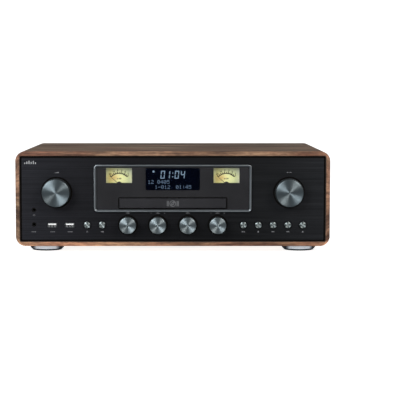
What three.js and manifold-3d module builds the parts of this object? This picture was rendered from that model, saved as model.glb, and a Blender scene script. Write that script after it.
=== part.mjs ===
// Tabletop CD receiver: a veneered cabinet on four feet, a black fascia with knobs,
// buttons, meters and a display, and a front-loading disc drive with its electronics.
// Millimetres, +Z up, front facing -Y, origin at the middle of the footprint on the floor.

import * as THREE from "three";
import { mergeVertices } from "three/addons/utils/BufferGeometryUtils.js";
import Module from "manifold-3d";

const wasm = await Module();
wasm.setup();

// ---------------------------------------------------------------------------
// Driving dimensions
// ---------------------------------------------------------------------------

const GAP = 0.3;                // running gap between neighbouring pieces
const OVER = 1;                 // how far a cutting tool passes through a face

const CABINET = { width: 430, height: 130, depth: 280, corner: 13.5 };
const WALL = { side: 6.3, top: 7, bottom: 6.6, innerCorner: 1.5 };
const FOOT = { height: 8, radius: 23.6, straight: 2.6, waist: 22.6, base: 20, x: 175, inset: 35 };

const RECESS = 2;               // fascia face behind the cabinet's front edge
const REVEAL = 1.3;             // shadow gap round the fascia
const FASCIA_T = 2;
const CARRIER_T = 3;            // moulded sub-panel behind the fascia
const BACK = { recess: 6.8, thick: 1.2 };

const BEZEL = { x: 107.7, z0: 46.9, z1: 111.4, bar: 3, proud: 2.8, corner: 4.5, inner: 2 };
const DISPLAY = { x: 37.4, z0: 76.3, z1: 107.3 };
const METER = { x: 73.5, half: 18, z0: 86.3, z1: 107.3, pivotZ: 84.3, rest: -48 };
const DOOR = { x: 73.15, z0: 52.1, z1: 65.5, gap: 0.8, thick: 3.5, proud: 0.3, corner: 1 };

const BIG_KNOB = { radius: 19.6, reach: 15.5, x: 159, z: 73.5, boss: 6.5, shaft: 3, sides: 24 };
const SMALL_KNOB = { radius: 12, reach: 13, z: 29, boss: 5.5, shaft: 2.5, sides: 18 };
const SMALL_KNOBS = { bass_knob: -61.5, treble_knob: -20.5, balance_knob: 20.5, menu_knob: 61.5 };
const BUTTON = { radius: 4.75, reach: 2.6, z: 29, edge: 0.5, sides: 12,
  flange: 5.9, flangeThick: 1.2, stem: 2.2, stemEnd: 13 };
const BUTTONS = {
  button_power: -117.3, button_source: -96.8, button_play: 96.8, button_stop: 117.2,
  button_back: 137.4, button_next: 157.7, button_eject: 178,
};
const USB = { x: [-165.3, -141.2], z: 28.7, width: 13.2, height: 6.4, wall: 0.5, depth: 14.5,
  face: -0.2, back: 18.6, tongueInset: 1.2, tongueFront: 1.5, tongueZ0: 0.3, tongueZ1: 2.1 };
const JACK = { x: -190, z: [29.6, 49.6], nose: 2.7, noseFront: 0.2, bore: 1.8, depth: 18.5,
  halfX: 5, halfZ: 4.5, endWall: 2 };

const BOARD = { front: 19, thick: 1.6, x: 200, z0: 14, strip: 38.5, wing: 100, z1: 112 };
const CHASSIS = { x: 206, z: 6.9, thick: 1, front: 5.6, back: 269.5 };
const STANDOFF = { radius: 3, top: 15.7 };
const PCB = { z: 16, thick: 1.6 };

// The disc drive. Its y values run back from the fascia's face, like all of the unit's.
const DISC_Y = 70;              // disc centre with the tray shut
const TRAY = { x: 69, z0: 56, z1: 61.5, y0: 3.5, y1: 181, corner: 3, slot: 20,
  disc: 61, discStep: 2.3, smallDisc: 41, smallDiscStep: 3.3 };
const RACK = { front: 6, back: 176, z0: 51.6, lap: 0.5, web: 3 };
const LOADER = { x: 73, inner: 70, y0: 12, y1: 192, z0: 40, floor: 2.5, top: 66,
  backWall: 3, backTop: 52 };
const LEDGE = { x: 63, z0: 53.4, z1: 55.6 };         // rails that the tray slides between
const LIP = { x: 66.5, z0: 61.9, z1: 63.6 };
const LUG = { x0: 36.6, x1: 39.6, half: 4, hole: 2.4 };
const LEG = { x: 66, radius: 4 };
const WELL = { x: 36, y0: 45, y1: 155 };
const LEG_Y = [30, 184];
const GEAR = { module: 1.25, teeth: 14, x: -54.75, y: 30, z0: 51.8, z1: 55.4, post: 2,
  bore: 2.35, neck: 5, room: 1.2, roomTop: 55.9 };
const PULLEY = { big: 13.5, small: 4.5, lip: 1, y: 74, z0: 45.6, belt0: 46.6, belt1: 48.6, z1: 49.6 };
const BELT_T = 0.9;
const MOTOR = { radius: 10, height: 12.5, cap: 4, capDrop: 1.5, bore: 1.7, boreDepth: 5,
  shaft: 1.2, shaftDepth: 4, hole: 2.4 };
const TRAVERSE = { x: 34, y0: 48, y1: 152, z0: 44, thick: 2.5, corner: 4, pivotY: 150, pivot: 2,
  pivotX: 39, wellX: 23, wellY0: 84, wellY1: 143, motorHole: 12.7 };
const HOLDER = { y: [80, 146], halfX: 3.5, halfY: 3, rise: 3.5, root: 1 };
const RAIL = { x: 19, z: 50, radius: 1.5, y0: 82.5, y1: 144 };
const SPINDLE = { radius: 12, z0: 38.5, top: 52, bore: 1.6, boreZ0: 45, earX: 15.5, earY: 10,
  earThick: 1.2, earCorner: 3 };
const HUB = { radius: 15, z: 58.6, rim: 1.6, top: 62, shaft: 1.2, shaftEnd: 47, neck: 5, neckZ: 53,
  spigot: 7.4, spigotTop: 60, nose: 6 };
const PICKUP = { y: 94.4, sled: 22, z0: 47.2, z1: 55.5, length: 22, headX: 9, headY: 8, headTop: 57,
  lens: 2.6, lensTop: 58, bore: 1.9 };
const CLAMP = { bridge0: 66.3, bridge1: 67.8, hole: 11, halfLength: 20, neck: 10.2,
  face: 15, faceZ0: 62.8, faceZ1: 64.4, coneZ: 65.2, rim: 16, rimZ0: 68.2, rimZ1: 69.6 };

const FASCIA_X = CABINET.width / 2 - WALL.side - REVEAL;
const FASCIA_Z0 = WALL.bottom + REVEAL;
const FASCIA_Z1 = CABINET.height - WALL.top - REVEAL;
const CARRIER_Y = FASCIA_T + GAP;
const CARRIER_BACK = CARRIER_Y + CARRIER_T;
const CABINET_BACK = CABINET.depth - RECESS;
const BACK_Y = CABINET_BACK - BACK.recess - BACK.thick;
const TOTAL_DEPTH = CABINET_BACK + BIG_KNOB.reach;

// ---------------------------------------------------------------------------
// Materials
// ---------------------------------------------------------------------------

function finish(color, roughness, metalness) {
  return new THREE.MeshStandardMaterial({ color, roughness, metalness });
}

const walnut = finish(0x7a6250, 0.5, 0);
const blackAlu = finish(0x26272a, 0.45, 0.6);
const darkPanel = finish(0x323136, 0.5, 0.3);
const bezelMetal = finish(0x7e868c, 0.3, 0.9);
const spunAlu = finish(0xa7b2b8, 0.28, 1);
const chrome = finish(0xc8c8c8, 0.12, 1);
const steel = finish(0x8f9498, 0.4, 0.9);
const blackSteel = finish(0x1c1c1d, 0.6, 0.4);
const blackPlastic = finish(0x17181a, 0.55, 0);
const whitePlastic = finish(0xd8d6cc, 0.5, 0);
const smokedGlass = finish(0x0c1018, 0.08, 0);
const clearLens = finish(0xdfe3da, 0.06, 0);
const displayFace = finish(0x101a30, 0.3, 0);
const dialCase = finish(0xe1e1a5, 0.6, 0);
const needleBlack = finish(0x101010, 0.5, 0);
const boardGreen = finish(0x2d5a3c, 0.55, 0);
const heatsinkAlu = finish(0x9a9da0, 0.45, 0.9);
const rubber = finish(0x1a1a1a, 0.85, 0);
const copper = finish(0xa8683c, 0.4, 0.8);

// ---------------------------------------------------------------------------
// Geometry helpers
// ---------------------------------------------------------------------------

const ALONG_X = new THREE.Matrix4().makeBasis(
  new THREE.Vector3(0, 1, 0), new THREE.Vector3(0, 0, 1), new THREE.Vector3(1, 0, 0));
const ALONG_Y = new THREE.Matrix4().makeBasis(
  new THREE.Vector3(1, 0, 0), new THREE.Vector3(0, 0, 1), new THREE.Vector3(0, -1, 0));

// A closed geometry as a solid that can be joined and cut.
function solid(geometry) {
  const bare = geometry.clone();
  bare.deleteAttribute("normal");
  bare.deleteAttribute("uv");
  const merged = mergeVertices(bare, 1e-4);
  return new wasm.Manifold(new wasm.Mesh({
    numProp: 3,
    vertProperties: new Float32Array(merged.attributes.position.array),
    triVerts: new Uint32Array(merged.index.array),
  }));
}

// A solid back as a geometry for a mesh.
function surface(body) {
  const mesh = body.getMesh();
  const geometry = new THREE.BufferGeometry();
  geometry.setAttribute("position", new THREE.BufferAttribute(mesh.vertProperties, 3));
  geometry.setIndex(new THREE.BufferAttribute(mesh.triVerts, 1));
  geometry.computeVertexNormals();
  return geometry;
}

function block(x0, x1, y0, y1, z0, z1) {
  const geometry = new THREE.BoxGeometry(x1 - x0, y1 - y0, z1 - z0);
  geometry.translate((x0 + x1) / 2, (y0 + y1) / 2, (z0 + z1) / 2);
  return solid(geometry);
}

// A round bar along Y from y0 to y1.
function barY(radius, x, z, y0, y1, sides) {
  const geometry = new THREE.CylinderGeometry(radius, radius, y1 - y0, sides);
  geometry.translate(x, (y0 + y1) / 2, z);
  return solid(geometry);
}

// A round bar along Z from z0 to z1.
function barZ(radius, x, y, z0, z1, sides) {
  const geometry = new THREE.CylinderGeometry(radius, radius, z1 - z0, sides);
  geometry.rotateX(Math.PI / 2);
  geometry.translate(x, y, (z0 + z1) / 2);
  return solid(geometry);
}

// A round bar along X from x0 to x1.
function barX(radius, y, z, x0, x1, sides) {
  const geometry = new THREE.CylinderGeometry(radius, radius, x1 - x0, sides);
  geometry.rotateZ(Math.PI / 2);
  geometry.translate((x0 + x1) / 2, y, z);
  return solid(geometry);
}

function outline(points) {
  return new THREE.Shape(points.map(([u, v]) => new THREE.Vector2(u, v)));
}

// A rectangle with round corners, from (u0, v0) to (u1, v1).
function roundedRect(u0, u1, v0, v1, radius) {
  const shape = new THREE.Shape();
  shape.moveTo(u0 + radius, v0);
  shape.lineTo(u1 - radius, v0);
  shape.absarc(u1 - radius, v0 + radius, radius, -Math.PI / 2, 0, false);
  shape.lineTo(u1, v1 - radius);
  shape.absarc(u1 - radius, v1 - radius, radius, 0, Math.PI / 2, false);
  shape.lineTo(u0 + radius, v1);
  shape.absarc(u0 + radius, v1 - radius, radius, Math.PI / 2, Math.PI, false);
  shape.lineTo(u0, v0 + radius);
  shape.absarc(u0 + radius, v0 + radius, radius, Math.PI, Math.PI * 1.5, false);
  return shape;
}

function extrude(shape, depth, steps) {
  return new THREE.ExtrudeGeometry(shape, { depth, bevelEnabled: false, curveSegments: steps });
}

// A shape drawn in X and Z, from y0 back to y1.
function panel(shape, y0, y1, steps = 4) {
  const geometry = extrude(shape, y1 - y0, steps);
  geometry.applyMatrix4(ALONG_Y);
  geometry.translate(0, y1, 0);
  return solid(geometry);
}

// A shape drawn in X and Y, from z0 up to z1.
function slab(shape, z0, z1, steps = 6) {
  const geometry = extrude(shape, z1 - z0, steps);
  geometry.translate(0, 0, z0);
  return solid(geometry);
}

// A shape drawn in Y and Z, from x0 to x1.
function profileX(shape, x0, x1, steps = 4) {
  const geometry = extrude(shape, x1 - x0, steps);
  geometry.applyMatrix4(ALONG_X);
  geometry.translate(x0, 0, 0);
  return solid(geometry);
}

// A turned piece about the Y axis: profile points are [radius, y].
function turnedY(profile, sides) {
  const points = profile.map(([r, y]) => new THREE.Vector2(r, y));
  return new THREE.LatheGeometry(points, sides);
}

// A turned piece about the Z axis: profile points are [radius, z].
function turnedZ(profile, sides) {
  const geometry = turnedY(profile, sides);
  geometry.rotateX(Math.PI / 2);
  return geometry;
}

function join(...bodies) {
  return bodies.reduce((all, next) => all.add(next));
}

function cut(body, ...tools) {
  return tools.reduce((rest, tool) => rest.subtract(tool), body);
}

// Lathe profiles may run either way, so a turned solid is turned right side out here.
function outward(geometry) {
  const position = geometry.attributes.position;
  const index = geometry.index.array;
  const a = new THREE.Vector3();
  const b = new THREE.Vector3();
  const c = new THREE.Vector3();
  let volume = 0;
  for (let i = 0; i < index.length; i += 3) {
    a.fromBufferAttribute(position, index[i]);
    b.fromBufferAttribute(position, index[i + 1]);
    c.fromBufferAttribute(position, index[i + 2]);
    volume += a.dot(b.cross(c));
  }
  if (volume < 0) {
    for (let i = 0; i < index.length; i += 3) {
      [index[i], index[i + 1]] = [index[i + 1], index[i]];
    }
  }
  return geometry;
}

function turnedSolid(geometry) {
  const merged = geometry.clone();
  merged.deleteAttribute("normal");
  merged.deleteAttribute("uv");
  return solid(outward(mergeVertices(merged, 1e-4)));
}

// ---------------------------------------------------------------------------
// Scene graph: the unit group's y runs back from the fascia's face, and its z
// runs up from the cabinet's underside.
// ---------------------------------------------------------------------------

const receiver = new THREE.Group();
const unit = new THREE.Group();
unit.position.set(0, BIG_KNOB.reach - TOTAL_DEPTH / 2, FOOT.height);
receiver.add(unit);

function addGroup() {
  const group = new THREE.Group();
  unit.add(group);
  return group;
}

function place(group, name, body, material, x = 0, y = 0, z = 0) {
  const mesh = new THREE.Mesh(surface(body), material);
  mesh.name = name;
  mesh.position.set(x, y, z);
  group.add(mesh);
  return mesh;
}

const SIDES = { left: -1, right: 1 };

// ---------------------------------------------------------------------------
// Cabinet, chassis, back panel and feet
// ---------------------------------------------------------------------------

const cabinet = addGroup();

function cabinetSleeve() {
  const halfWidth = CABINET.width / 2;
  const outer = roundedRect(-halfWidth, halfWidth, 0, CABINET.height, CABINET.corner);
  const innerX = halfWidth - WALL.side;
  const innerTop = CABINET.height - WALL.top;
  const inner = roundedRect(-innerX, innerX, WALL.bottom, innerTop, WALL.innerCorner);
  return cut(
    panel(outer, -RECESS, CABINET_BACK, 8),
    panel(inner, -RECESS - OVER, CABINET_BACK + OVER, 2));
}

const MAIN_BOARD = { x0: 84, x1: 200, y0: 40, y1: 252 };
const POWER_BOARD = { x0: -200, x1: -90, y0: 40, y1: 165 };
const BOARD_INSET = 6;

function boardCorners(board) {
  const xs = [board.x0 + BOARD_INSET, board.x1 - BOARD_INSET];
  const ys = [board.y0 + BOARD_INSET, board.y1 - BOARD_INSET];
  return xs.flatMap((x) => ys.map((y) => [x, y]));
}

// One folded sheet with a front and a back lip, and pressed-in board standoffs.
function chassisPlate() {
  const { z, thick, front, back } = CHASSIS;
  const frontLip = 13;
  const backLip = 14;
  const sheet = profileX(outline([
    [front, z], [back, z], [back, backLip], [back - thick, backLip],
    [back - thick, z + thick], [front + thick, z + thick],
    [front + thick, frontLip], [front, frontLip],
  ]), -CHASSIS.x, CHASSIS.x);
  const posts = [...boardCorners(MAIN_BOARD), ...boardCorners(POWER_BOARD)]
    .map(([x, y]) => barZ(STANDOFF.radius, x, y, z + thick / 2, STANDOFF.top, 10));
  return join(sheet, ...posts);
}

const INLET = { x: -165, z: 30, width: 20, height: 12, depth: 20, proud: 2, rimX: 3, rimZ: 2,
  wellX: 8.2, wellZ: 4.2, wellCorner: 3.6, wellDepth: 14, pin: 1.2, pinX: 4.3, pinInset: 4 };
const AERIAL = { x: 96, z: 32, radius: 5.2, half: 7, rise: 8, front: 254, bore: 3.2, boreDepth: 6 };
const LINE_OUT = { x: 128, z: 32, pitchX: 16, pitchZ: 15, radius: 4.2 };
const SPEAKER_OUT = { x: 172, z: 32, pitchX: 20, pitchZ: 15, radius: 4.2 };
const VENT = { width: 3, z0: 62, z1: 98, pitch: 8, rightX: 96, rightCount: 13, leftX: -190, leftCount: 7 };

function socketGrid(sockets) {
  const dx = sockets.pitchX / 2;
  const dz = sockets.pitchZ / 2;
  return [[-dx, -dz], [dx, -dz], [-dx, dz], [dx, dz]]
    .map(([x, z]) => [sockets.x + x, sockets.z + z]);
}

function backPanel() {
  const y0 = BACK_Y - OVER;
  const y1 = BACK_Y + BACK.thick + OVER;
  const margin = 0.5;
  const x = CABINET.width / 2 - WALL.side - margin;
  const sheet = block(-x, x, BACK_Y, BACK_Y + BACK.thick,
    WALL.bottom + margin, CABINET.height - WALL.top - margin);
  const tools = [];
  tools.push(block(
    INLET.x - INLET.width / 2 - GAP, INLET.x + INLET.width / 2 + GAP, y0, y1,
    INLET.z - INLET.height / 2 - GAP, INLET.z + INLET.height / 2 + GAP));
  tools.push(barY(AERIAL.radius + GAP, AERIAL.x, AERIAL.z, y0, y1, 12));
  for (const sockets of [LINE_OUT, SPEAKER_OUT]) {
    for (const [sx, sz] of socketGrid(sockets)) {
      tools.push(barY(sockets.radius + GAP, sx, sz, y0, y1, 12));
    }
  }
  for (let i = 0; i < VENT.rightCount; i += 1) {
    const vx = VENT.rightX + i * VENT.pitch;
    tools.push(block(vx, vx + VENT.width, y0, y1, VENT.z0, VENT.z1));
  }
  for (let i = 0; i < VENT.leftCount; i += 1) {
    const vx = VENT.leftX + i * VENT.pitch;
    tools.push(block(vx, vx + VENT.width, y0, y1, VENT.z0, VENT.z1));
  }
  return cut(sheet, ...tools);
}

function foot() {
  const { radius, straight, waist, base, height } = FOOT;
  return turnedSolid(turnedZ([
    [0, -GAP], [radius, -GAP], [radius, -straight], [waist, -height * 0.7],
    [base, -height], [0, -height],
  ], 20));
}

place(cabinet, "cabinet_sleeve", cabinetSleeve(), walnut);
place(cabinet, "chassis_plate", chassisPlate(), steel);
place(cabinet, "back_panel", backPanel(), blackSteel);
for (const [side, sign] of Object.entries(SIDES)) {
  place(cabinet, `foot_front_${side}`, foot(), chrome, sign * FOOT.x, FOOT.inset - RECESS, 0);
  place(cabinet, `foot_back_${side}`, foot(), chrome, sign * FOOT.x, CABINET_BACK - FOOT.inset, 0);
}

// ---------------------------------------------------------------------------
// Fascia, carrier, bezel and centre plate
// ---------------------------------------------------------------------------

const front = addGroup();

const SLIM = { fascia: 0.35, carrier: 0.8, flange: 0.5 };    // clearance of a hole round what passes it
const ENCODER = { half: 9, bush: 4.6, bore: 3.4 };
const POT = { half: 6.5, bush: 3.6, bore: 2.9 };
const SWITCH = { half: 3, front: 15, plunger: 1.6, tip: 14.3 };
const FASCIA_CORNER = 1;

// Holes that the controls and sockets pass through, as tools from y0 to y1.
function controlHoles(y0, y1, clearance, buttonRadius, sides) {
  const tools = [];
  for (const sign of Object.values(SIDES)) {
    tools.push(barY(ENCODER.bush + clearance, sign * BIG_KNOB.x, BIG_KNOB.z, y0, y1, sides));
  }
  for (const x of Object.values(SMALL_KNOBS)) {
    tools.push(barY(POT.bush + clearance, x, SMALL_KNOB.z, y0, y1, sides));
  }
  for (const x of Object.values(BUTTONS)) {
    tools.push(barY(buttonRadius, x, BUTTON.z, y0, y1, sides));
  }
  for (const x of USB.x) {
    const w = USB.width / 2 + clearance;
    const h = USB.height / 2 + clearance;
    tools.push(block(x - w, x + w, y0, y1, USB.z - h, USB.z + h));
  }
  for (const z of JACK.z) {
    tools.push(barY(JACK.nose + clearance, JACK.x, z, y0, y1, sides));
  }
  return tools;
}

const WINDOW = { lap: 1.5, corner: 3, carrierX: 96, carrierZ0: 49, carrierZ1: 110.5 };

function frontFascia() {
  const x = BEZEL.x - WINDOW.lap;
  const plate = panel(
    roundedRect(-FASCIA_X, FASCIA_X, FASCIA_Z0, FASCIA_Z1, FASCIA_CORNER), 0, FASCIA_T, 2);
  const opening = panel(
    roundedRect(-x, x, BEZEL.z0 + WINDOW.lap, BEZEL.z1 - WINDOW.lap, WINDOW.corner),
    -OVER, FASCIA_T + OVER);
  return cut(plate, opening,
    ...controlHoles(-OVER, FASCIA_T + OVER, SLIM.fascia, BUTTON.radius + SLIM.fascia, 16));
}

function frontCarrier() {
  const y0 = CARRIER_Y;
  const y1 = CARRIER_BACK;
  const plate = block(-FASCIA_X, FASCIA_X, y0, y1, FASCIA_Z0, FASCIA_Z1);
  const opening = block(-WINDOW.carrierX, WINDOW.carrierX, y0 - OVER, y1 + OVER,
    WINDOW.carrierZ0, WINDOW.carrierZ1);
  return cut(plate, opening,
    ...controlHoles(y0 - OVER, y1 + OVER, SLIM.carrier, BUTTON.flange + SLIM.flange, 10));
}

function bezelFrame() {
  const { x, z0, z1, bar, proud, corner, inner } = BEZEL;
  return cut(
    panel(roundedRect(-x, x, z0, z1, corner), -proud, -GAP, 5),
    panel(roundedRect(-x + bar, x - bar, z0 + bar, z1 - bar, inner),
      -proud - OVER, OVER, 4));
}

function centrePlate() {
  const lap = WINDOW.lap + GAP;
  const x = BEZEL.x - lap;
  const y0 = -OVER;
  const y1 = FASCIA_T + OVER;
  const plate = panel(
    roundedRect(-x, x, BEZEL.z0 + lap, BEZEL.z1 - lap, WINDOW.corner - GAP), 0, FASCIA_T);
  const meterHoles = Object.values(SIDES).map((sign) => block(
    sign * METER.x - METER.half, sign * METER.x + METER.half, y0, y1, METER.z0, METER.z1));
  return cut(plate, ...meterHoles,
    block(-DISPLAY.x, DISPLAY.x, y0, y1, DISPLAY.z0, DISPLAY.z1),
    panel(roundedRect(-DOOR.x - DOOR.gap, DOOR.x + DOOR.gap,
      DOOR.z0 - DOOR.gap, DOOR.z1 + DOOR.gap, DOOR.corner + DOOR.gap), y0, y1));
}

place(front, "front_fascia", frontFascia(), blackAlu);
place(front, "front_carrier", frontCarrier(), blackPlastic);
place(front, "bezel_frame", bezelFrame(), bezelMetal);
place(front, "center_plate", centrePlate(), darkPanel);

// ---------------------------------------------------------------------------
// Display and the two meters
// ---------------------------------------------------------------------------

const LENS_BACK = 1.8;
const METER_CASE = { x: 19.8, z0: 79.5, z1: 109.4, back: 18, pocketX: 18.3, pocketZ0: 81.5,
  pocketZ1: 107.6, pocketDepth: 6 };
const NEEDLE = { front: 5, thick: 0.5, width: 0.8, length: 17, hub: 1.6, hubLead: 0.4, tail: 2.6 };
const DISPLAY_GLASS = { margin: 1.8, back: 7 };
const DISPLAY_BOARD = { sideMargin: 6, bottomMargin: 3, topMargin: 2, front: 6.5, back: 8.6 };

function displayWindow() {
  const { x, z0, z1 } = DISPLAY;
  return block(-x + GAP, x - GAP, GAP, LENS_BACK, z0 + GAP, z1 - GAP);
}

// A glass panel on the board behind it.
function displayModule() {
  const g = DISPLAY_GLASS;
  const b = DISPLAY_BOARD;
  const glass = block(-DISPLAY.x - g.margin, DISPLAY.x + g.margin, CARRIER_Y, g.back,
    DISPLAY.z0 - g.margin, DISPLAY.z1 + g.margin);
  const board = block(-DISPLAY.x - b.sideMargin, DISPLAY.x + b.sideMargin, b.front, b.back,
    DISPLAY.z0 - b.bottomMargin, DISPLAY.z1 + b.topMargin);
  return join(glass, board);
}

function meterCase() {
  const c = METER_CASE;
  const shell = block(-c.x, c.x, CARRIER_Y, c.back, c.z0, c.z1);
  const pocket = block(-c.pocketX, c.pocketX, CARRIER_Y - OVER, CARRIER_Y + c.pocketDepth,
    c.pocketZ0, c.pocketZ1);
  return cut(shell, pocket);
}

function meterLens() {
  const x = METER.half - GAP;
  return block(-x, x, GAP, LENS_BACK, METER.z0 + GAP, METER.z1 - GAP);
}

// A tapered pointer on a round hub, drawn upright about its pivot.
function needle() {
  const n = NEEDLE;
  const blade = panel(outline([
    [-n.width / 2, -n.tail], [n.width / 2, -n.tail], [n.width / 4, n.length], [-n.width / 4, n.length],
  ]), n.front, n.front + n.thick);
  const hubBack = CARRIER_Y + METER_CASE.pocketDepth - GAP;
  return join(blade, barY(n.hub, 0, 0, n.front - n.hubLead, hubBack, 14));
}

place(front, "display_window", displayWindow(), smokedGlass);
place(front, "display_module", displayModule(), displayFace);
for (const [side, sign] of Object.entries(SIDES)) {
  place(front, `meter_case_${side}`, meterCase(), dialCase, sign * METER.x);
  place(front, `meter_lens_${side}`, meterLens(), clearLens, sign * METER.x);
  const pointer = place(front, `needle_${side}`, needle(), needleBlack, sign * METER.x, 0, METER.pivotZ);
  pointer.rotation.y = THREE.MathUtils.degToRad(METER.rest);
}

// ---------------------------------------------------------------------------
// Knobs, buttons and front sockets
// ---------------------------------------------------------------------------

const KNOB = { rear: -0.8, bossRear: -2.4, wall: 2, faceThick: 3, chamfer: 0.9, shaftEnd: 14 };

// A turned cup with a chamfered face, an inner boss and the shaft that it turns.
function knob({ radius, reach, boss, shaft, sides }) {
  const face = -reach;
  const floor = face + KNOB.faceThick;
  const inner = radius - KNOB.wall;
  return turnedSolid(turnedY([
    [0, KNOB.shaftEnd], [shaft, KNOB.shaftEnd], [shaft, KNOB.bossRear], [boss, KNOB.bossRear],
    [boss, floor], [inner, floor], [inner, KNOB.rear], [radius, KNOB.rear],
    [radius, face + KNOB.chamfer], [radius - KNOB.chamfer, face], [0, face],
  ], sides));
}

function button() {
  const { radius, reach, edge, flange, flangeThick, stem, stemEnd, sides } = BUTTON;
  const flangeFront = CARRIER_Y + GAP;
  const flangeBack = flangeFront + flangeThick;
  return turnedSolid(turnedY([
    [0, stemEnd], [stem, stemEnd], [stem, flangeBack], [flange, flangeBack], [flange, flangeFront],
    [radius, flangeFront], [radius, -reach + edge], [radius - edge, -reach], [0, -reach],
  ], sides));
}

// A metal shell open at the front, with the contact tongue in its upper half.
function usbPort() {
  const { width, height, wall, depth, face, back, tongueInset, tongueFront } = USB;
  const w = width / 2;
  const h = height / 2;
  const shell = block(-w, w, face, back, -h, h);
  const cavity = block(-w + wall, w - wall, face - OVER, depth, -h + wall, h - wall);
  const tongue = block(-w + tongueInset, w - tongueInset, tongueFront, depth + OVER,
    USB.tongueZ0, USB.tongueZ1);
  return join(cut(shell, cavity), tongue);
}

function jackSocket() {
  const { nose, noseFront, bore, depth, halfX, halfZ, endWall } = JACK;
  const body = join(
    block(-halfX, halfX, CARRIER_BACK + GAP, depth, -halfZ, halfZ),
    barY(nose, 0, 0, noseFront, CARRIER_BACK + OVER, 14));
  return cut(body, barY(bore, 0, 0, -OVER, depth - endWall, 12));
}

place(front, "knob_left", knob(BIG_KNOB), spunAlu, -BIG_KNOB.x, 0, BIG_KNOB.z);
place(front, "knob_right", knob(BIG_KNOB), spunAlu, BIG_KNOB.x, 0, BIG_KNOB.z);
for (const [name, x] of Object.entries(SMALL_KNOBS)) {
  place(front, name, knob(SMALL_KNOB), spunAlu, x, 0, SMALL_KNOB.z);
}
for (const [name, x] of Object.entries(BUTTONS)) {
  place(front, name, button(), spunAlu, x, 0, BUTTON.z);
}
place(front, "usb_port_left", usbPort(), steel, USB.x[0], 0, USB.z);
place(front, "usb_port_right", usbPort(), steel, USB.x[1], 0, USB.z);
place(front, "headphone_socket", jackSocket(), blackPlastic, JACK.x, 0, JACK.z[1]);
place(front, "aux_socket", jackSocket(), blackPlastic, JACK.x, 0, JACK.z[0]);

// The control board: a low strip with a wing at each end. It carries the switches
// behind the buttons and the bushed bodies that hold the knobs' shafts.
function controlBoard() {
  const b = BOARD;
  const holderFront = 8;
  const bushFront = -1.5;
  const boreEnd = 15;
  const back = b.front + b.thick;
  const strip = block(-b.x, b.x, b.front, back, b.z0, b.strip);
  const wings = Object.values(SIDES).map((sign) => {
    const xs = [sign * b.wing, sign * b.x].sort((p, q) => p - q);
    return block(xs[0], xs[1], b.front, back, b.z0, b.z1);
  });
  const parts = [strip, ...wings];
  const bores = [];
  const addShaftHolder = (x, z, { half, bush, bore }) => {
    parts.push(block(x - half, x + half, holderFront, b.front + OVER, z - half, z + half));
    parts.push(barY(bush, x, z, bushFront, holderFront + OVER, 10));
    bores.push(barY(bore, x, z, bushFront - OVER, boreEnd, 10));
  };
  for (const sign of Object.values(SIDES)) {
    addShaftHolder(sign * BIG_KNOB.x, BIG_KNOB.z, ENCODER);
  }
  for (const x of Object.values(SMALL_KNOBS)) {
    addShaftHolder(x, SMALL_KNOB.z, POT);
  }
  for (const x of Object.values(BUTTONS)) {
    const { half, front, plunger, tip } = SWITCH;
    parts.push(block(x - half, x + half, front, b.front + OVER, BUTTON.z - half, BUTTON.z + half));
    parts.push(barY(plunger, x, BUTTON.z, tip, front + OVER, 6));
  }
  return cut(join(...parts), ...bores);
}

place(front, "control_board", controlBoard(), boardGreen);

// ---------------------------------------------------------------------------
// Disc drive: tray, loader frame and its gear drive
// ---------------------------------------------------------------------------

const drive = addGroup();

const PITCH = Math.PI * GEAR.module;
const PITCH_RADIUS = GEAR.module * GEAR.teeth / 2;
const RACK_X = GEAR.x + PITCH_RADIUS;
const TOOTH = { atRoot: 2.3, atTip: 1, out: 1.25, in: 1.55 };

// The gear's outline: flat-topped teeth, one of them pointing along +X.
function gearOutline() {
  const points = [];
  const step = 2 * Math.PI / GEAR.teeth;
  const root = PITCH_RADIUS - TOOTH.in;
  const tip = PITCH_RADIUS + TOOTH.out;
  for (let i = 0; i < GEAR.teeth; i += 1) {
    const middle = i * step;
    const halfRoot = TOOTH.atRoot / 2 / root;
    const halfTip = TOOTH.atTip / 2 / tip;
    for (const [r, a] of [[root, -halfRoot], [tip, -halfTip], [tip, halfTip], [root, halfRoot]]) {
      points.push([r * Math.cos(middle + a), r * Math.sin(middle + a)]);
    }
  }
  return outline(points);
}

// The rack under the tray: teeth point to -X, and a gap between two teeth meets the gear.
function rackOutline(y0, y1) {
  const rootX = RACK_X + TOOTH.in;
  const tipX = RACK_X - TOOTH.out;
  const backX = rootX + RACK.web;
  const points = [[backX, y1], [backX, y0], [rootX, y0]];
  const first = Math.ceil((y0 + TOOTH.atRoot - GEAR.y) / PITCH - 0.5);
  for (let y = GEAR.y + (first + 0.5) * PITCH; y + TOOTH.atRoot < y1; y += PITCH) {
    points.push([rootX, y - TOOTH.atRoot / 2], [tipX, y - TOOTH.atTip / 2]);
    points.push([tipX, y + TOOTH.atTip / 2], [rootX, y + TOOTH.atRoot / 2]);
  }
  points.push([rootX, y1]);
  return outline(points.reverse());
}

function trayDoor() {
  const { x, z0, z1, thick, proud, corner } = DOOR;
  return panel(roundedRect(-x, x, z0, z1, corner), -proud, thick - proud - GAP, 3);
}

// The tray holds both disc sizes in two round steps. Its slot is open at the back,
// so the hub and the pickup stay in it while the tray slides.
function cdTray() {
  const { x, z0, z1, y0, y1, corner, disc, discStep, smallDisc, smallDiscStep, slot } = TRAY;
  const plate = slab(roundedRect(-x, x, y0, y1, corner), z0, z1);
  const rack = slab(rackOutline(RACK.front, RACK.back), RACK.z0, z0 + RACK.lap);
  return cut(join(plate, rack),
    barZ(disc, 0, DISC_Y, z1 - discStep, z1 + OVER, 40),
    barZ(smallDisc, 0, DISC_Y, z1 - smallDiscStep, z1, 28),
    barZ(slot, 0, DISC_Y, z0 - OVER, z1, 20),
    block(-slot, slot, DISC_Y, y1 + OVER, z0 - OVER, z1 + OVER));
}

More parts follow.
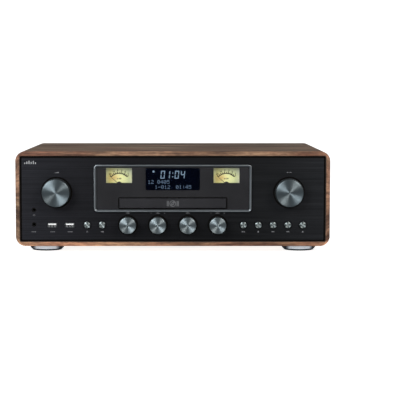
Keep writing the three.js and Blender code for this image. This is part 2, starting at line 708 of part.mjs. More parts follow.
function loaderFrame() {
  const l = LOADER;
  const floorTop = l.z0 + l.floor;
  const pin = { y: TRAVERSE.pivotY, z: TRAVERSE.z0 + TRAVERSE.thick / 2 };
  const parts = [block(-l.x, l.x, l.y0, l.y1, l.z0, floorTop)];
  parts.push(block(-l.x, l.x, l.y1 - l.backWall, l.y1, l.z0, l.backTop));
  for (const sign of Object.values(SIDES)) {
    const span = (inner, outer) => [sign * inner, sign * outer].sort((p, q) => p - q);
    const wall = span(l.inner, l.x);
    const ledge = span(LEDGE.x, l.inner + OVER);
    const lip = span(LIP.x, l.inner + OVER);
    const lug = span(LUG.x0, LUG.x1);
    parts.push(block(wall[0], wall[1], l.y0, l.y1, l.z0, l.top));
    parts.push(block(ledge[0], ledge[1], l.y0, l.y1, LEDGE.z0, LEDGE.z1));
    parts.push(block(lip[0], lip[1], l.y0, l.y1, LIP.z0, LIP.z1));
    parts.push(block(lug[0], lug[1], pin.y - LUG.half, pin.y + LUG.half, l.z0, pin.z + LUG.half));
    for (const y of LEG_Y) {
      const legBottom = CHASSIS.z + CHASSIS.thick + GAP;
      parts.push(barZ(LEG.radius, sign * LEG.x, y, legBottom, l.z0 + OVER, 12));
    }
  }
  const gearRoom = barZ(PITCH_RADIUS + TOOTH.out + GEAR.room, GEAR.x, GEAR.y,
    floorTop + OVER, GEAR.roomTop, 20);
  const well = block(-WELL.x, WELL.x, WELL.y0, WELL.y1, l.z0 - OVER, floorTop + OVER);
  const motorHole = barZ(MOTOR.hole, GEAR.x, PULLEY.y, l.z0 - OVER, floorTop + OVER, 12);
  const post = barZ(GEAR.post, GEAR.x, GEAR.y, l.z0, GEAR.z1 - GAP, 12);
  const pinHole = barX(LUG.hole, pin.y, pin.z, -LUG.x1 - OVER, LUG.x1 + OVER, 14);
  return join(cut(join(...parts), gearRoom, well, motorHole, pinHole), post);
}

// Gear and belt pulley are one moulding, turning on the frame's post.
function driveGear() {
  const p = PULLEY;
  const core = turnedSolid(turnedZ([
    [0, p.z0], [p.big + p.lip, p.z0], [p.big + p.lip, p.belt0 - GAP], [p.big, p.belt0 - GAP],
    [p.big, p.belt1 + GAP], [p.big + p.lip, p.belt1 + GAP], [p.big + p.lip, p.z1],
    [GEAR.neck, p.z1], [GEAR.neck, GEAR.z0 + GAP], [0, GEAR.z0 + GAP],
  ], 20));
  const teeth = slab(gearOutline(), GEAR.z0, GEAR.z1);
  return cut(join(core, teeth), barZ(GEAR.bore, 0, 0, p.z0 - OVER, GEAR.z1 + OVER, 12));
}

function motorPulley() {
  const p = PULLEY;
  const shaftEnd = LOADER.z0 - GAP - MOTOR.shaftDepth;
  return turnedSolid(turnedZ([
    [0, shaftEnd], [MOTOR.shaft, shaftEnd], [MOTOR.shaft, p.z0],
    [p.small + p.lip, p.z0], [p.small + p.lip, p.belt0 - GAP],
    [p.small, p.belt0 - GAP], [p.small, p.belt1 + GAP], [p.small + p.lip, p.belt1 + GAP],
    [p.small + p.lip, p.z1], [0, p.z1],
  ], 12));
}

// The belt runs round both pulleys: two arcs joined by the tangent lines.
function driveBelt() {
  const distance = PULLEY.y - GEAR.y;
  const tilt = Math.asin((PULLEY.big - PULLEY.small) / distance);
  const loop = (extra, ShapeClass) => {
    const shape = new ShapeClass();
    shape.absarc(0, 0, PULLEY.big + extra, Math.PI - tilt, tilt, false);
    shape.absarc(0, distance, PULLEY.small + extra, tilt, Math.PI - tilt, false);
    shape.closePath();
    return shape;
  };
  const band = loop(GAP + BELT_T, THREE.Shape);
  band.holes.push(loop(GAP, THREE.Path));
  return slab(band, PULLEY.belt0, PULLEY.belt1, 9);
}

function loaderMotor() {
  const top = LOADER.z0 - GAP;
  const m = MOTOR;
  const bottom = top - m.height;
  const body = join(
    barZ(m.radius, 0, 0, bottom, top, 16),
    barZ(m.cap, 0, 0, bottom - m.capDrop, bottom + OVER, 12));
  return cut(body, barZ(m.bore, 0, 0, top - m.boreDepth, top + OVER, 10));
}

place(drive, "tray_door", trayDoor(), darkPanel);
place(drive, "cd_tray", cdTray(), blackPlastic);
place(drive, "loader_frame", loaderFrame(), blackPlastic);
place(drive, "tray_drive_gear", driveGear(), whitePlastic, GEAR.x, GEAR.y, 0);
place(drive, "motor_pulley", motorPulley(), whitePlastic, GEAR.x, PULLEY.y, 0);
place(drive, "drive_belt", driveBelt(), rubber, GEAR.x, GEAR.y, 0);
place(drive, "loader_motor", loaderMotor(), steel, GEAR.x, PULLEY.y, 0);

// ---------------------------------------------------------------------------
// Disc drive: clamp, traverse, turntable and pickup
// ---------------------------------------------------------------------------

function clamperBridge() {
  const c = CLAMP;
  const strip = block(-LOADER.x, LOADER.x, DISC_Y - c.halfLength, DISC_Y + c.halfLength,
    c.bridge0, c.bridge1);
  return cut(strip, barZ(c.hole, 0, DISC_Y, c.bridge0 - OVER, c.bridge1 + OVER, 18));
}

// The puck hangs in the bridge by its upper rim and presses on a disc with its lower one.
function clampPuck() {
  const c = CLAMP;
  return turnedSolid(turnedZ([
    [0, c.faceZ0], [c.face, c.faceZ0], [c.face, c.faceZ1], [c.neck, c.coneZ], [c.neck, c.rimZ0],
    [c.rim, c.rimZ0], [c.rim, c.rimZ1], [0, c.rimZ1],
  ], 20));
}

function traverseFrame() {
  const t = TRAVERSE;
  const top = t.z0 + t.thick;
  const pinZ = t.z0 + t.thick / 2;
  const plate = slab(roundedRect(-t.x, t.x, t.y0, t.y1, t.corner), t.z0, top, 3);
  const pickupWell = block(-t.wellX, t.wellX, t.wellY0, t.wellY1, t.z0 - OVER, top + OVER);
  const motorHole = barZ(t.motorHole, 0, DISC_Y, t.z0 - OVER, top + OVER, 18);
  const pivot = barX(t.pivot, t.pivotY, pinZ, -t.pivotX, t.pivotX, 12);
  const holders = [];
  for (const sign of Object.values(SIDES)) {
    for (const y of HOLDER.y) {
      const x = sign * RAIL.x;
      holders.push(block(x - HOLDER.halfX, x + HOLDER.halfX, y - HOLDER.halfY, y + HOLDER.halfY,
        top - HOLDER.root, RAIL.z + HOLDER.rise));
    }
  }
  const seats = Object.values(SIDES).map((sign) => barY(
    RAIL.radius + GAP, sign * RAIL.x, RAIL.z, RAIL.y0 - OVER, RAIL.y1 + OVER, 8));
  return cut(join(cut(plate, pickupWell, motorHole), pivot, ...holders), ...seats);
}

function spindleMotor() {
  const s = SPINDLE;
  const ledge = TRAVERSE.z0 + TRAVERSE.thick + GAP;
  const body = join(
    barZ(s.radius, 0, 0, s.z0, s.top, 18),
    slab(roundedRect(-s.earX, s.earX, -s.earY, s.earY, s.earCorner), ledge, ledge + s.earThick, 2));
  return cut(body, barZ(s.bore, 0, 0, s.boreZ0, s.top + OVER, 12));
}

function turntableHub() {
  const h = HUB;
  return turnedSolid(turnedZ([
    [0, h.shaftEnd], [h.shaft, h.shaftEnd], [h.shaft, h.neckZ], [h.neck, h.neckZ],
    [h.neck, h.z - h.rim], [h.radius, h.z - h.rim], [h.radius, h.z], [h.spigot, h.z],
    [h.spigot, h.spigotTop], [h.nose, h.top], [0, h.top],
  ], 20));
}

function guideRail() {
  return barY(RAIL.radius, 0, 0, RAIL.y0 - OVER + GAP, RAIL.y1 + OVER - GAP, 8);
}

// The sled rides on both rails and lifts the lens up to the disc.
function laserPickup() {
  const p = PICKUP;
  const half = p.length / 2;
  const sled = block(-p.sled, p.sled, -half, half, p.z0, p.z1 - OVER);
  const head = block(-p.headX, p.headX, -p.headY, p.headY, p.z1 - 2 * OVER, p.headTop);
  const lens = barZ(p.lens, 0, 0, p.z1, p.lensTop, 16);
  const bores = Object.values(SIDES).map((sign) => barY(
    p.bore, sign * RAIL.x, RAIL.z, -half - OVER, half + OVER, 8));
  return cut(join(sled, head, lens), ...bores);
}

place(drive, "clamper_bridge", clamperBridge(), steel);
place(drive, "clamp_puck", clampPuck(), blackPlastic, 0, DISC_Y, 0);
place(drive, "traverse_frame", traverseFrame(), blackPlastic);
place(drive, "spindle_motor", spindleMotor(), steel, 0, DISC_Y, 0);
place(drive, "turntable_hub", turntableHub(), whitePlastic, 0, DISC_Y, 0);
place(drive, "guide_rail_left", guideRail(), steel, -RAIL.x, 0, RAIL.z);
place(drive, "guide_rail_right", guideRail(), steel, RAIL.x, 0, RAIL.z);
place(drive, "laser_pickup", laserPickup(), blackPlastic, 0, PICKUP.y, 0);

// ---------------------------------------------------------------------------
// Electronics and rear connectors
// ---------------------------------------------------------------------------

const electronics = addGroup();
const PCB_TOP = PCB.z + PCB.thick;

// Blocks on a board: x0, x1, y0, y1 and height. Round cans: radius, x, y and height.
const MAIN_PARTS = {
  blocks: {
    decoder: [100, 118, 60, 78, 2], tunerCan: [140, 180, 60, 95, 9],
    motorDriver: [96, 110, 120, 150, 3], controller: [150, 164, 130, 144, 2],
  },
  cans: { reservoirLeft: [8, 125, 165, 28], reservoirRight: [8, 145, 165, 28], filter: [5, 175, 165, 14] },
};
const POWER_PARTS = {
  blocks: {
    rectifier: [-145, -115, 60, 68, 30], relay: [-150, -125, 110, 135, 22],
    fuseHolder: [-185, -165, 130, 150, 14],
  },
  cans: { reservoirFront: [11, -175, 70, 38], reservoirBack: [11, -175, 98, 38] },
};
const SOLDER_LAP = 0.5;
const TRANSFORMER = { x: -150, y: 212, coreX: 33, coreY: 16, coreZ: 55, coilX: 21, coilY: 25,
  coilZ0: 11, coilZ1: 44, footX: 44, footY: 10, footZ: 1.5 };
const HEATSINK = { x0: 106, x1: 190, y0: 192, plateBack: 196, finBack: 222, top: 74, fin: 2, fins: 12 };

// A board and its components as one solid.
function circuitBoard(board, { blocks, cans }) {
  const seat = PCB_TOP - SOLDER_LAP;
  return join(
    block(board.x0, board.x1, board.y0, board.y1, PCB.z, PCB_TOP),
    ...Object.values(blocks).map(([x0, x1, y0, y1, rise]) => (
      block(x0, x1, y0, y1, seat, PCB_TOP + rise))),
    ...Object.values(cans).map(([radius, x, y, rise]) => (
      barZ(radius, x, y, seat, PCB_TOP + rise, 14))));
}

// An E-I mains transformer: the laminated core, the winding through it, and two feet.
function powerTransformer() {
  const t = TRANSFORMER;
  const floor = CHASSIS.z + CHASSIS.thick + GAP;
  return join(
    block(t.x - t.coreX, t.x + t.coreX, t.y - t.coreY, t.y + t.coreY, floor, floor + t.coreZ),
    block(t.x - t.coilX, t.x + t.coilX, t.y - t.coilY, t.y + t.coilY,
      floor + t.coilZ0, floor + t.coilZ1),
    block(t.x - t.footX, t.x + t.footX, t.y - t.footY, t.y + t.footY, floor, floor + t.footZ));
}

function amplifierHeatsink() {
  const h = HEATSINK;
  const base = PCB_TOP + GAP;
  const pitch = (h.x1 - h.x0 - h.fin) / (h.fins - 1);
  const parts = [block(h.x0, h.x1, h.y0, h.plateBack, base, h.top)];
  for (let i = 0; i < h.fins; i += 1) {
    const x = h.x0 + i * pitch;
    parts.push(block(x, x + h.fin, h.plateBack - OVER, h.finBack, base, h.top));
  }
  return join(...parts);
}

const CONNECTOR = { front: 250, back: BACK_Y - GAP, reach: CABINET_BACK - 0.4, marginX: 7,
  marginZ: 6.5, bore: 1.7, boreDepth: 8 };

// A moulded block behind the back panel with four ringed sockets through it.
function socketBlock(sockets) {
  const halfX = sockets.pitchX / 2 + CONNECTOR.marginX;
  const halfZ = sockets.pitchZ / 2 + CONNECTOR.marginZ;
  const bottom = Math.max(sockets.z - halfZ, PCB_TOP + GAP);
  const body = block(sockets.x - halfX, sockets.x + halfX, CONNECTOR.front, CONNECTOR.back,
    bottom, sockets.z + halfZ);
  const barrels = [];
  const bores = [];
  for (const [x, z] of socketGrid(sockets)) {
    barrels.push(barY(sockets.radius, x, z, CONNECTOR.back - OVER, CONNECTOR.reach, 12));
    bores.push(barY(CONNECTOR.bore, x, z, CONNECTOR.back - CONNECTOR.boreDepth,
      CONNECTOR.reach + OVER, 8));
  }
  return cut(join(body, ...barrels), ...bores);
}

function aerialSocket() {
  const { x, z, radius, half, rise, front: bodyFront, bore, boreDepth } = AERIAL;
  const body = join(
    block(x - half, x + half, bodyFront, CONNECTOR.back, PCB_TOP + GAP, z + rise),
    barY(radius, x, z, CONNECTOR.back - OVER, CONNECTOR.reach, 12));
  return cut(body, barY(bore, x, z, CONNECTOR.back - boreDepth, CONNECTOR.reach + OVER, 10));
}

// A two-pole mains inlet: a deep recess with round ends and its two pins.
function mainsInlet() {
  const { x, z, depth, rimX, rimZ, wellX, wellZ, wellCorner, wellDepth, pin, pinX } = INLET;
  const halfX = INLET.width / 2;
  const halfZ = INLET.height / 2;
  const face = BACK_Y + BACK.thick + INLET.proud;
  const rimFront = BACK_Y + BACK.thick + GAP;
  const body = join(
    block(x - halfX, x + halfX, face - depth, face, z - halfZ, z + halfZ),
    block(x - halfX - rimX, x + halfX + rimX, rimFront, face, z - halfZ - rimZ, z + halfZ + rimZ));
  const recess = panel(roundedRect(x - wellX, x + wellX, z - wellZ, z + wellZ, wellCorner),
    face - wellDepth, face + OVER, 4);
  const pins = [-pinX, pinX].map((dx) => barY(
    pin, x + dx, z, face - wellDepth - OVER, face - INLET.pinInset, 10));
  return join(cut(body, recess), ...pins);
}

place(electronics, "main_board", circuitBoard(MAIN_BOARD, MAIN_PARTS), boardGreen);
place(electronics, "power_board", circuitBoard(POWER_BOARD, POWER_PARTS), boardGreen);
place(electronics, "power_transformer", powerTransformer(), copper);
place(electronics, "amplifier_heatsink", amplifierHeatsink(), heatsinkAlu);
place(electronics, "line_sockets", socketBlock(LINE_OUT), blackPlastic);
place(electronics, "speaker_sockets", socketBlock(SPEAKER_OUT), blackPlastic);
place(electronics, "aerial_socket", aerialSocket(), steel);
place(electronics, "mains_inlet", mainsInlet(), blackPlastic);

export default receiver;
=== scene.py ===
"""Looks of the tabletop CD receiver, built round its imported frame. Blender 4.5, metres."""
import math

import bmesh
import bpy
from mathutils import Matrix, Vector


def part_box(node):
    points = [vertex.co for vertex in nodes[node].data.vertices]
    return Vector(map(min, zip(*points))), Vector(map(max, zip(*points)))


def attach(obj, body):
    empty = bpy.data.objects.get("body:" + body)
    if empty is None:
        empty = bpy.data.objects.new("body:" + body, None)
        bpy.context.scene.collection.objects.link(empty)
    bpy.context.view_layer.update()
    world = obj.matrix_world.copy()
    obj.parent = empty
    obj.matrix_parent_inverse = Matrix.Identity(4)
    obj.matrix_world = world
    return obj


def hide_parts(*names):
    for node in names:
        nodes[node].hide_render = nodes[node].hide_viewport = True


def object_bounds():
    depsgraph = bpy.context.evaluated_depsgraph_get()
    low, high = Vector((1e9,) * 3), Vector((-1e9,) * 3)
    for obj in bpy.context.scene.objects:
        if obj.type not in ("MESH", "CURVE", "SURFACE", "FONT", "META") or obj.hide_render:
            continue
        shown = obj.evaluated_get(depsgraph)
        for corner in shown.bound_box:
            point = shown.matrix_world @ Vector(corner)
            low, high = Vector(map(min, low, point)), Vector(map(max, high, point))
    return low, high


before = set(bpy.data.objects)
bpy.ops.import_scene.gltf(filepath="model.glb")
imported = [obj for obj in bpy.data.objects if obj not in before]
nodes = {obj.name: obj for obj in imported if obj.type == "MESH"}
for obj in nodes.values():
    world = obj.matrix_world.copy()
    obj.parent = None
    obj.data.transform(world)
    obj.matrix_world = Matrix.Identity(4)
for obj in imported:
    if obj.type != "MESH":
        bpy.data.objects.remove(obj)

MM = 0.001
cad_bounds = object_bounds()
scene = bpy.context.scene
scene.view_settings.view_transform = "Standard"


# ---- Places worked out from the frame ----

def middle(node):
    low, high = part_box(node)
    return (low + high) / 2


def axis_of(node):
    """A point on the front-to-back line through the middle of a node."""
    c = middle(node)
    return Vector((c.x, 0, c.z))


SLEEVE_LOW, SLEEVE_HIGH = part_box("cabinet_sleeve")
FASCIA_LOW, FASCIA_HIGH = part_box("front_fascia")
FACE_Y = FASCIA_LOW.y
FLOOR_Z = cad_bounds[0][2]
SMALL_KNOBS = ["bass_knob", "treble_knob", "balance_knob", "menu_knob"]
BUTTONS = ["button_power", "button_source", "button_play", "button_stop",
           "button_back", "button_next", "button_eject"]
SIDES = ("left", "right")


# ---- Camera, light and stage ----

CAMERA_DISTANCE = 1.95           # from the cabinet's front edge
CAMERA_SIDE = 0.010
CAMERA_HEIGHT = 0.2275
CAMERA_PITCH = math.radians(4.577)
LENS = 128.8
SHIFT = 0.0498                   # puts the unit left of the middle without turning the camera


def look_at(obj, place, target):
    obj.location = place
    obj.rotation_euler = (Vector(target) - Vector(place)).to_track_quat("-Z", "Y").to_euler()


def make_camera():
    data = bpy.data.cameras.new("camera")
    data.lens = LENS
    data.sensor_width = 36
    data.shift_x = SHIFT
    camera = bpy.data.objects.new("camera", data)
    scene.collection.objects.link(camera)
    camera.location = (CAMERA_SIDE, SLEEVE_LOW.y - CAMERA_DISTANCE, CAMERA_HEIGHT)
    camera.rotation_euler = (math.pi / 2 - CAMERA_PITCH, 0, 0)
    scene.camera = camera


def area_light(name, place, target, size, power, color=(1, 1, 1)):
    data = bpy.data.lights.new(name, "AREA")
    data.shape = "RECTANGLE"
    data.size, data.size_y = size
    data.energy = power
    data.color = color
    light = bpy.data.objects.new(name, data)
    scene.collection.objects.link(light)
    look_at(light, place, target)


def make_lights():
    centre = (0, 0, 0.06)
    area_light("softbox_left", (-1.55, -1.9, 1.25), centre, (1.7, 1.3), 50, (0.93, 0.97, 1))
    area_light("softbox_right", (1.5, -1.9, 1.4), centre, (1.2, 0.9), 27, (1, 0.98, 0.95))
    area_light("softbox_top", (0, 0.5, 1.9), centre, (2.0, 1.4), 7)
    world = bpy.data.worlds.new("studio")
    world.use_nodes = True
    world.node_tree.nodes["Background"].inputs[0].default_value = (0.85, 0.93, 1, 1)
    world.node_tree.nodes["Background"].inputs[1].default_value = 0.11
    scene.world = world


def make_stage():
    """A pale floor that bends up into a backdrop behind the object."""
    width, front, back, height, bend = 9.0, -9.0, 3.2, 4.0, 0.9
    profile = [(front, 0)]
    steps = 12
    for i in range(steps + 1):
        a = math.pi / 2 * i / steps
        profile.append((back - bend + bend * math.sin(a), bend - bend * math.cos(a)))
    profile.append((back, height))
    verts = [(x, y, z + FLOOR_Z) for y, z in profile for x in (-width / 2, width / 2)]
    faces = [(2 * i, 2 * i + 1, 2 * i + 3, 2 * i + 2) for i in range(len(profile) - 1)]
    mesh = bpy.data.meshes.new("floor")
    mesh.from_pydata(verts, [], faces)
    for polygon in mesh.polygons:
        polygon.use_smooth = True
    floor = bpy.data.objects.new("floor", mesh)
    scene.collection.objects.link(floor)
    paper = bpy.data.materials.new("paper_white")
    paper.use_nodes = True
    bsdf = paper.node_tree.nodes["Principled BSDF"]
    bsdf.inputs["Base Color"].default_value = (0.6, 0.6, 0.6, 1)
    bsdf.inputs["Roughness"].default_value = 0.9
    bsdf.inputs["Specular IOR Level"].default_value = 0.1
    bsdf.inputs["Emission Color"].default_value = (1, 1, 1, 1)
    bsdf.inputs["Emission Strength"].default_value = 0.85
    mesh.materials.append(paper)
    floor.visible_glossy = False


# ---- Procedural materials ----

class Surface:
    """A Principled material with short calls for the nodes that feed it."""

    def __init__(self, name, color, roughness, metallic=0.0, **sockets):
        self.material = bpy.data.materials.new(name)
        self.material.use_nodes = True
        self.tree = self.material.node_tree
        self.bsdf = self.tree.nodes["Principled BSDF"]
        self.set("Base Color", (*color, 1))
        self.set("Roughness", roughness)
        self.set("Metallic", metallic)
        for key, value in sockets.items():
            self.set(key.replace("_", " "), value)

    def set(self, socket, value):
        self.bsdf.inputs[socket].default_value = value

    def feed(self, socket, output):
        self.tree.links.new(output, self.bsdf.inputs[socket])

    def node(self, kind, inputs, **settings):
        """A new node with its settings, then its inputs linked or given a value."""
        made = self.tree.nodes.new("ShaderNode" + kind)
        for key, value in settings.items():
            setattr(made, key, value)
        for key, value in inputs.items():
            if isinstance(value, bpy.types.NodeSocket):
                self.tree.links.new(value, made.inputs[key])
            else:
                made.inputs[key].default_value = value
        return made

    def coords(self, source):
        return self.node("TexCoord", {}).outputs[source]

    def attribute(self, name, output="Vector"):
        return self.node("Attribute", {}, attribute_name=name).outputs[output]

    def scaled(self, vector, scale):
        return self.node("Mapping", {"Vector": vector, "Scale": scale}).outputs[0]

    def place(self, scale):
        return self.scaled(self.coords("Object"), scale)

    def split(self, vector):
        return self.node("SeparateXYZ", {0: vector}).outputs

    def noise(self, vector, detail, roughness=0.6, distortion=0.0):
        return self.node("TexNoise", {
            "Vector": vector, "Scale": 1.0, "Detail": detail, "Roughness": roughness,
            "Distortion": distortion}).outputs["Fac"]

    def ramp(self, fac, *stops):
        made = self.node("ValToRGB", {"Fac": fac})
        elements = made.color_ramp.elements
        while len(elements) < len(stops):
            elements.new(0.5)
        for element, (position, color) in zip(elements, stops):
            element.position = position
            element.color = (*color, 1)
        return made.outputs["Color"]

    def span(self, fac, low, high, source=(0.3, 0.7)):
        return self.node("MapRange", {
            "Value": fac, "From Min": source[0], "From Max": source[1],
            "To Min": low, "To Max": high}).outputs[0]

    def math(self, operation, *values):
        return self.node("Math", dict(enumerate(values)), operation=operation).outputs[0]

    def vector_math(self, operation, *values):
        return self.node("VectorMath", dict(enumerate(values)), operation=operation).outputs

    def mix(self, fac, a, b, blend="MIX"):
        return self.node("Mix", {0: fac, 6: a, 7: b}, data_type="RGBA", blend_type=blend).outputs[2]

    def bump(self, height, distance, strength):
        made = self.node("Bump", {"Height": height, "Distance": distance, "Strength": strength})
        self.feed("Normal", made.outputs["Normal"])


def moulded(name, color, roughness, grain=1800, **sockets):
    """Moulded plastic or paint: fine texture, slight drift in tone and gloss."""
    s = Surface(name, color, roughness, **sockets)
    drift = s.noise(s.place((22, 22, 22)), detail=3)
    fine = s.noise(s.place((grain, grain, grain)), detail=2)
    dark = tuple(c * 0.92 for c in color)
    light = tuple(min(1, c * 1.08) for c in color)
    s.feed("Base Color", s.ramp(drift, (0.35, dark), (0.65, light)))
    s.feed("Roughness", s.span(drift, roughness - 0.06, roughness + 0.08))
    s.bump(fine, 0.04 * MM, 0.35)
    return s


def brushed(name, color, roughness, direction, contrast=0.12):
    """Metal with brush lines along one axis."""
    s = Surface(name, color, roughness, 1.0)
    stretch = [1400.0, 1400.0, 1400.0]
    stretch[direction] = 9.0
    lines = s.noise(s.place(stretch), detail=5, roughness=0.7)
    drift = s.noise(s.place((14, 14, 14)), detail=2)
    dark = tuple(c * (1 - contrast) for c in color)
    light = tuple(min(1, c * (1 + contrast)) for c in color)
    s.feed("Base Color", s.ramp(lines, (0.3, dark), (0.7, light)))
    both = s.math("MULTIPLY_ADD", drift, 0.5, lines)
    s.feed("Roughness", s.span(both, roughness - 0.07, roughness + 0.1, (0.5, 1.0)))
    s.bump(lines, 0.03 * MM, 0.5)
    return s


def walnut():
    """Satin veneer: grain along the width on top and front to back on the sides, redder banding on the
    front edge, painted light that makes it paler low down, and a painted shadow that darkens the inner lip."""
    s = Surface("walnut", (0.2, 0.12, 0.08), 0.45, Coat_Weight=0.1, Coat_Roughness=0.35)

    def figure(grain):
        wide = s.noise(s.scaled(grain, (6, 52, 60)), detail=4, roughness=0.6, distortion=0.5)
        streaks = s.noise(s.scaled(grain, (18, 330, 330)), detail=5, roughness=0.7, distortion=0.4)
        pores = s.noise(s.scaled(grain, (130, 1700, 1100)), detail=2)
        broad = s.ramp(s.noise(s.scaled(grain, (5, 15, 15)), detail=2),
                       (0.36, (0.74, 0.72, 0.7)), (0.62, (1.14, 1.14, 1.14)))
        tone = s.ramp(wide, (0.36, (0.105, 0.046, 0.024)), (0.5, (0.235, 0.121, 0.070)),
                      (0.64, (0.37, 0.205, 0.122)))
        lines = s.ramp(streaks, (0.36, (0.34, 0.29, 0.26)), (0.56, (1, 1, 1)))
        grained = s.mix(0.85, s.mix(1.0, tone, broad, "MULTIPLY"), lines, "MULTIPLY")
        return s.mix(0.6, grained,
                     s.ramp(pores, (0.38, (0.5, 0.45, 0.42)), (0.48, (1, 1, 1))), "MULTIPLY"), streaks

    across = s.attribute("grain_across")
    along, streaks = figure(across)
    deep, side_streaks = figure(s.attribute("grain_deep"))
    side = s.attribute("side", "Fac")
    figured = s.mix(side, along, s.mix(1.0, deep, (0.96, 1.03, 1.06, 1), "MULTIPLY"))
    flush = s.noise(s.scaled(across, (9, 26, 12)), detail=2)
    red = s.span(flush, 0.0, 0.9, (0.45, 0.65))
    blushed = s.mix(red, figured, (1.1, 0.84, 0.84, 1), "MULTIPLY")
    spot = s.split(s.coords("Object"))
    # Painted light: the wood is made paler low down, where light from the floor would fall on it.
    painted_floor_light = s.span(spot["Z"], 1.0, 0.0, (SLEEVE_LOW.z + 5 * MM, SLEEVE_LOW.z + 12 * MM))
    floor_lit_wood = s.mix(painted_floor_light, blushed, (1.4, 1.36, 1.28, 1), "MULTIPLY")
    mottle = s.noise(s.scaled(across, (110, 40, 350)), detail=3)
    blotches = s.ramp(mottle, (0.38, (0.75, 0.77, 0.74)), (0.6, (1.24, 1.36, 1.29)))
    mottled = s.mix(0.8, floor_lit_wood, blotches, "MULTIPLY")
    faced = s.mix(1.0, floor_lit_wood, (0.84, 1.08, 1.14, 1), "MULTIPLY")
    edged = s.span(spot["Y"], 1.0, 0.0, (SLEEVE_LOW.y + 0.5 * MM, SLEEVE_LOW.y + 0.9 * MM))
    banded = s.mix(edged, faced, mottled)
    # Painted shadow: the inner lip of the wall goes near black, where the gap by the fascia lies in shade.
    painted_lip_shadow = s.span(s.attribute("from_inside", "Fac"), 1.0, 0.0, (0.7 * MM, 1.4 * MM))
    s.feed("Base Color", s.mix(painted_lip_shadow, banded, (0.012, 0.006, 0.003, 1)))
    mixed = s.node("Mix", {0: side, 2: streaks, 3: side_streaks}, data_type="FLOAT").outputs[0]
    s.feed("Roughness", s.span(mixed, 0.54, 0.4))
    s.bump(mixed, 0.08 * MM, 0.5)
    return s


def spun_metal(name, dark, light, roughness, anisotropic):
    """Lathe-turned metal: fine rings about the Y axis and a highlight that fans out."""
    s = Surface(name, light, roughness, 1.0, Anisotropic=anisotropic, Anisotropic_Rotation=0.25)
    s.feed("Tangent", s.node("Tangent", {}, direction_type="RADIAL", axis="Y").outputs[0])
    centred = s.vector_math("SUBTRACT", s.coords("Generated"), (0.5, 0, 0.5))[0]
    flat = s.vector_math("MULTIPLY", centred, (1, 0, 1))[0]
    radius = s.vector_math("LENGTH", flat)["Value"]
    rings = s.node("TexNoise", {"W": s.math("MULTIPLY", radius, 150.0), "Detail": 3.0},
                   noise_dimensions="1D").outputs["Fac"]
    s.feed("Base Color", s.ramp(rings, (0.3, dark), (0.7, light)))
    s.feed("Roughness", s.span(rings, roughness - 0.05, roughness + 0.08))
    s.bump(rings, 0.02 * MM, 0.3)
    return s


def black_fascia():
    """Black anodised plate with close horizontal lines and a painted sheen, lighter towards both ends."""
    s = Surface("black_fascia", (0.02, 0.021, 0.025), 0.42, 0.55, Specular_IOR_Level=0.35)
    lines = s.noise(s.place((7, 900, 1500)), detail=5, roughness=0.75)
    bands = s.noise(s.place((2.5, 60, 160)), detail=3)
    tone = s.ramp(lines, (0.3, (0.007, 0.0072, 0.009)), (0.7, (0.026, 0.0265, 0.031)))
    slow = s.ramp(bands, (0.3, (0.8, 0.8, 0.8)), (0.7, (1.1, 1.1, 1.1)))
    # Painted sheen: the ramp below makes the plate lighter at both ends and darker in the middle, standing
    # in for how the lamps fall on it.
    across = s.split(s.coords("Object"))["X"]
    painted_sheen = s.ramp(s.span(across, 0, 1, (FASCIA_LOW.x, FASCIA_HIGH.x)),
                   (0.0, (1.3, 1.28, 1.34)), (0.3, (0.64, 0.62, 0.64)), (0.75, (0.6, 0.62, 0.58)),
                   (1.0, (1.15, 1.17, 1.13)))
    s.feed("Base Color", s.mix(1.0, s.mix(1.0, tone, slow, "MULTIPLY"), painted_sheen, "MULTIPLY"))
    s.feed("Roughness", s.span(lines, 0.36, 0.52))
    s.bump(lines, 0.05 * MM, 0.6)
    return s


def meter_dial():
    """Backlit dial paper with its glow painted as emission: pale yellow-green, a painted pool of warm lamp
    light low on the left, greyer at the top.
    """
    s = Surface("meter_dial", (0.6, 0.6, 0.32), 0.6, Emission_Strength=0.36)
    spot = s.coords("Generated")
    parts = s.split(spot)
    fibre = s.noise(s.place((900, 900, 900)), detail=3)
    upright = s.ramp(parts["Z"], (0.0, (0.80, 0.80, 0.45)), (0.45, (0.66, 0.66, 0.33)),
                     (0.72, (0.51, 0.53, 0.31)), (0.92, (0.32, 0.34, 0.22)))
    sides = s.ramp(parts["X"], (0.0, (0.95, 0.91, 0.85)), (0.14, (0.86, 0.76, 0.45)),
                   (0.45, (1.15, 1.12, 0.95)), (0.85, (0.85, 0.9, 0.85)), (1.0, (0.95, 0.95, 1.2)))
    toned = s.mix(0.95, upright, sides, "MULTIPLY")
    # Painted light: a warm pool of the backlight, strongest near a point low on the left of the dial.
    from_lamp = s.vector_math("DISTANCE", spot, (0.28, 0.0, 0.38))["Value"]
    painted_lamp_pool = s.mix(s.span(from_lamp, 0.8, 0.0, (0.03, 0.3)), toned, (0.52, 0.33, 0.11, 1))
    papered = s.mix(0.25, painted_lamp_pool, s.ramp(fibre, (0.3, (0.8, 0.8, 0.8)), (0.7, (1, 1, 1))), "MULTIPLY")
    s.feed("Base Color", papered)
    s.feed("Emission Color", papered)
    return s


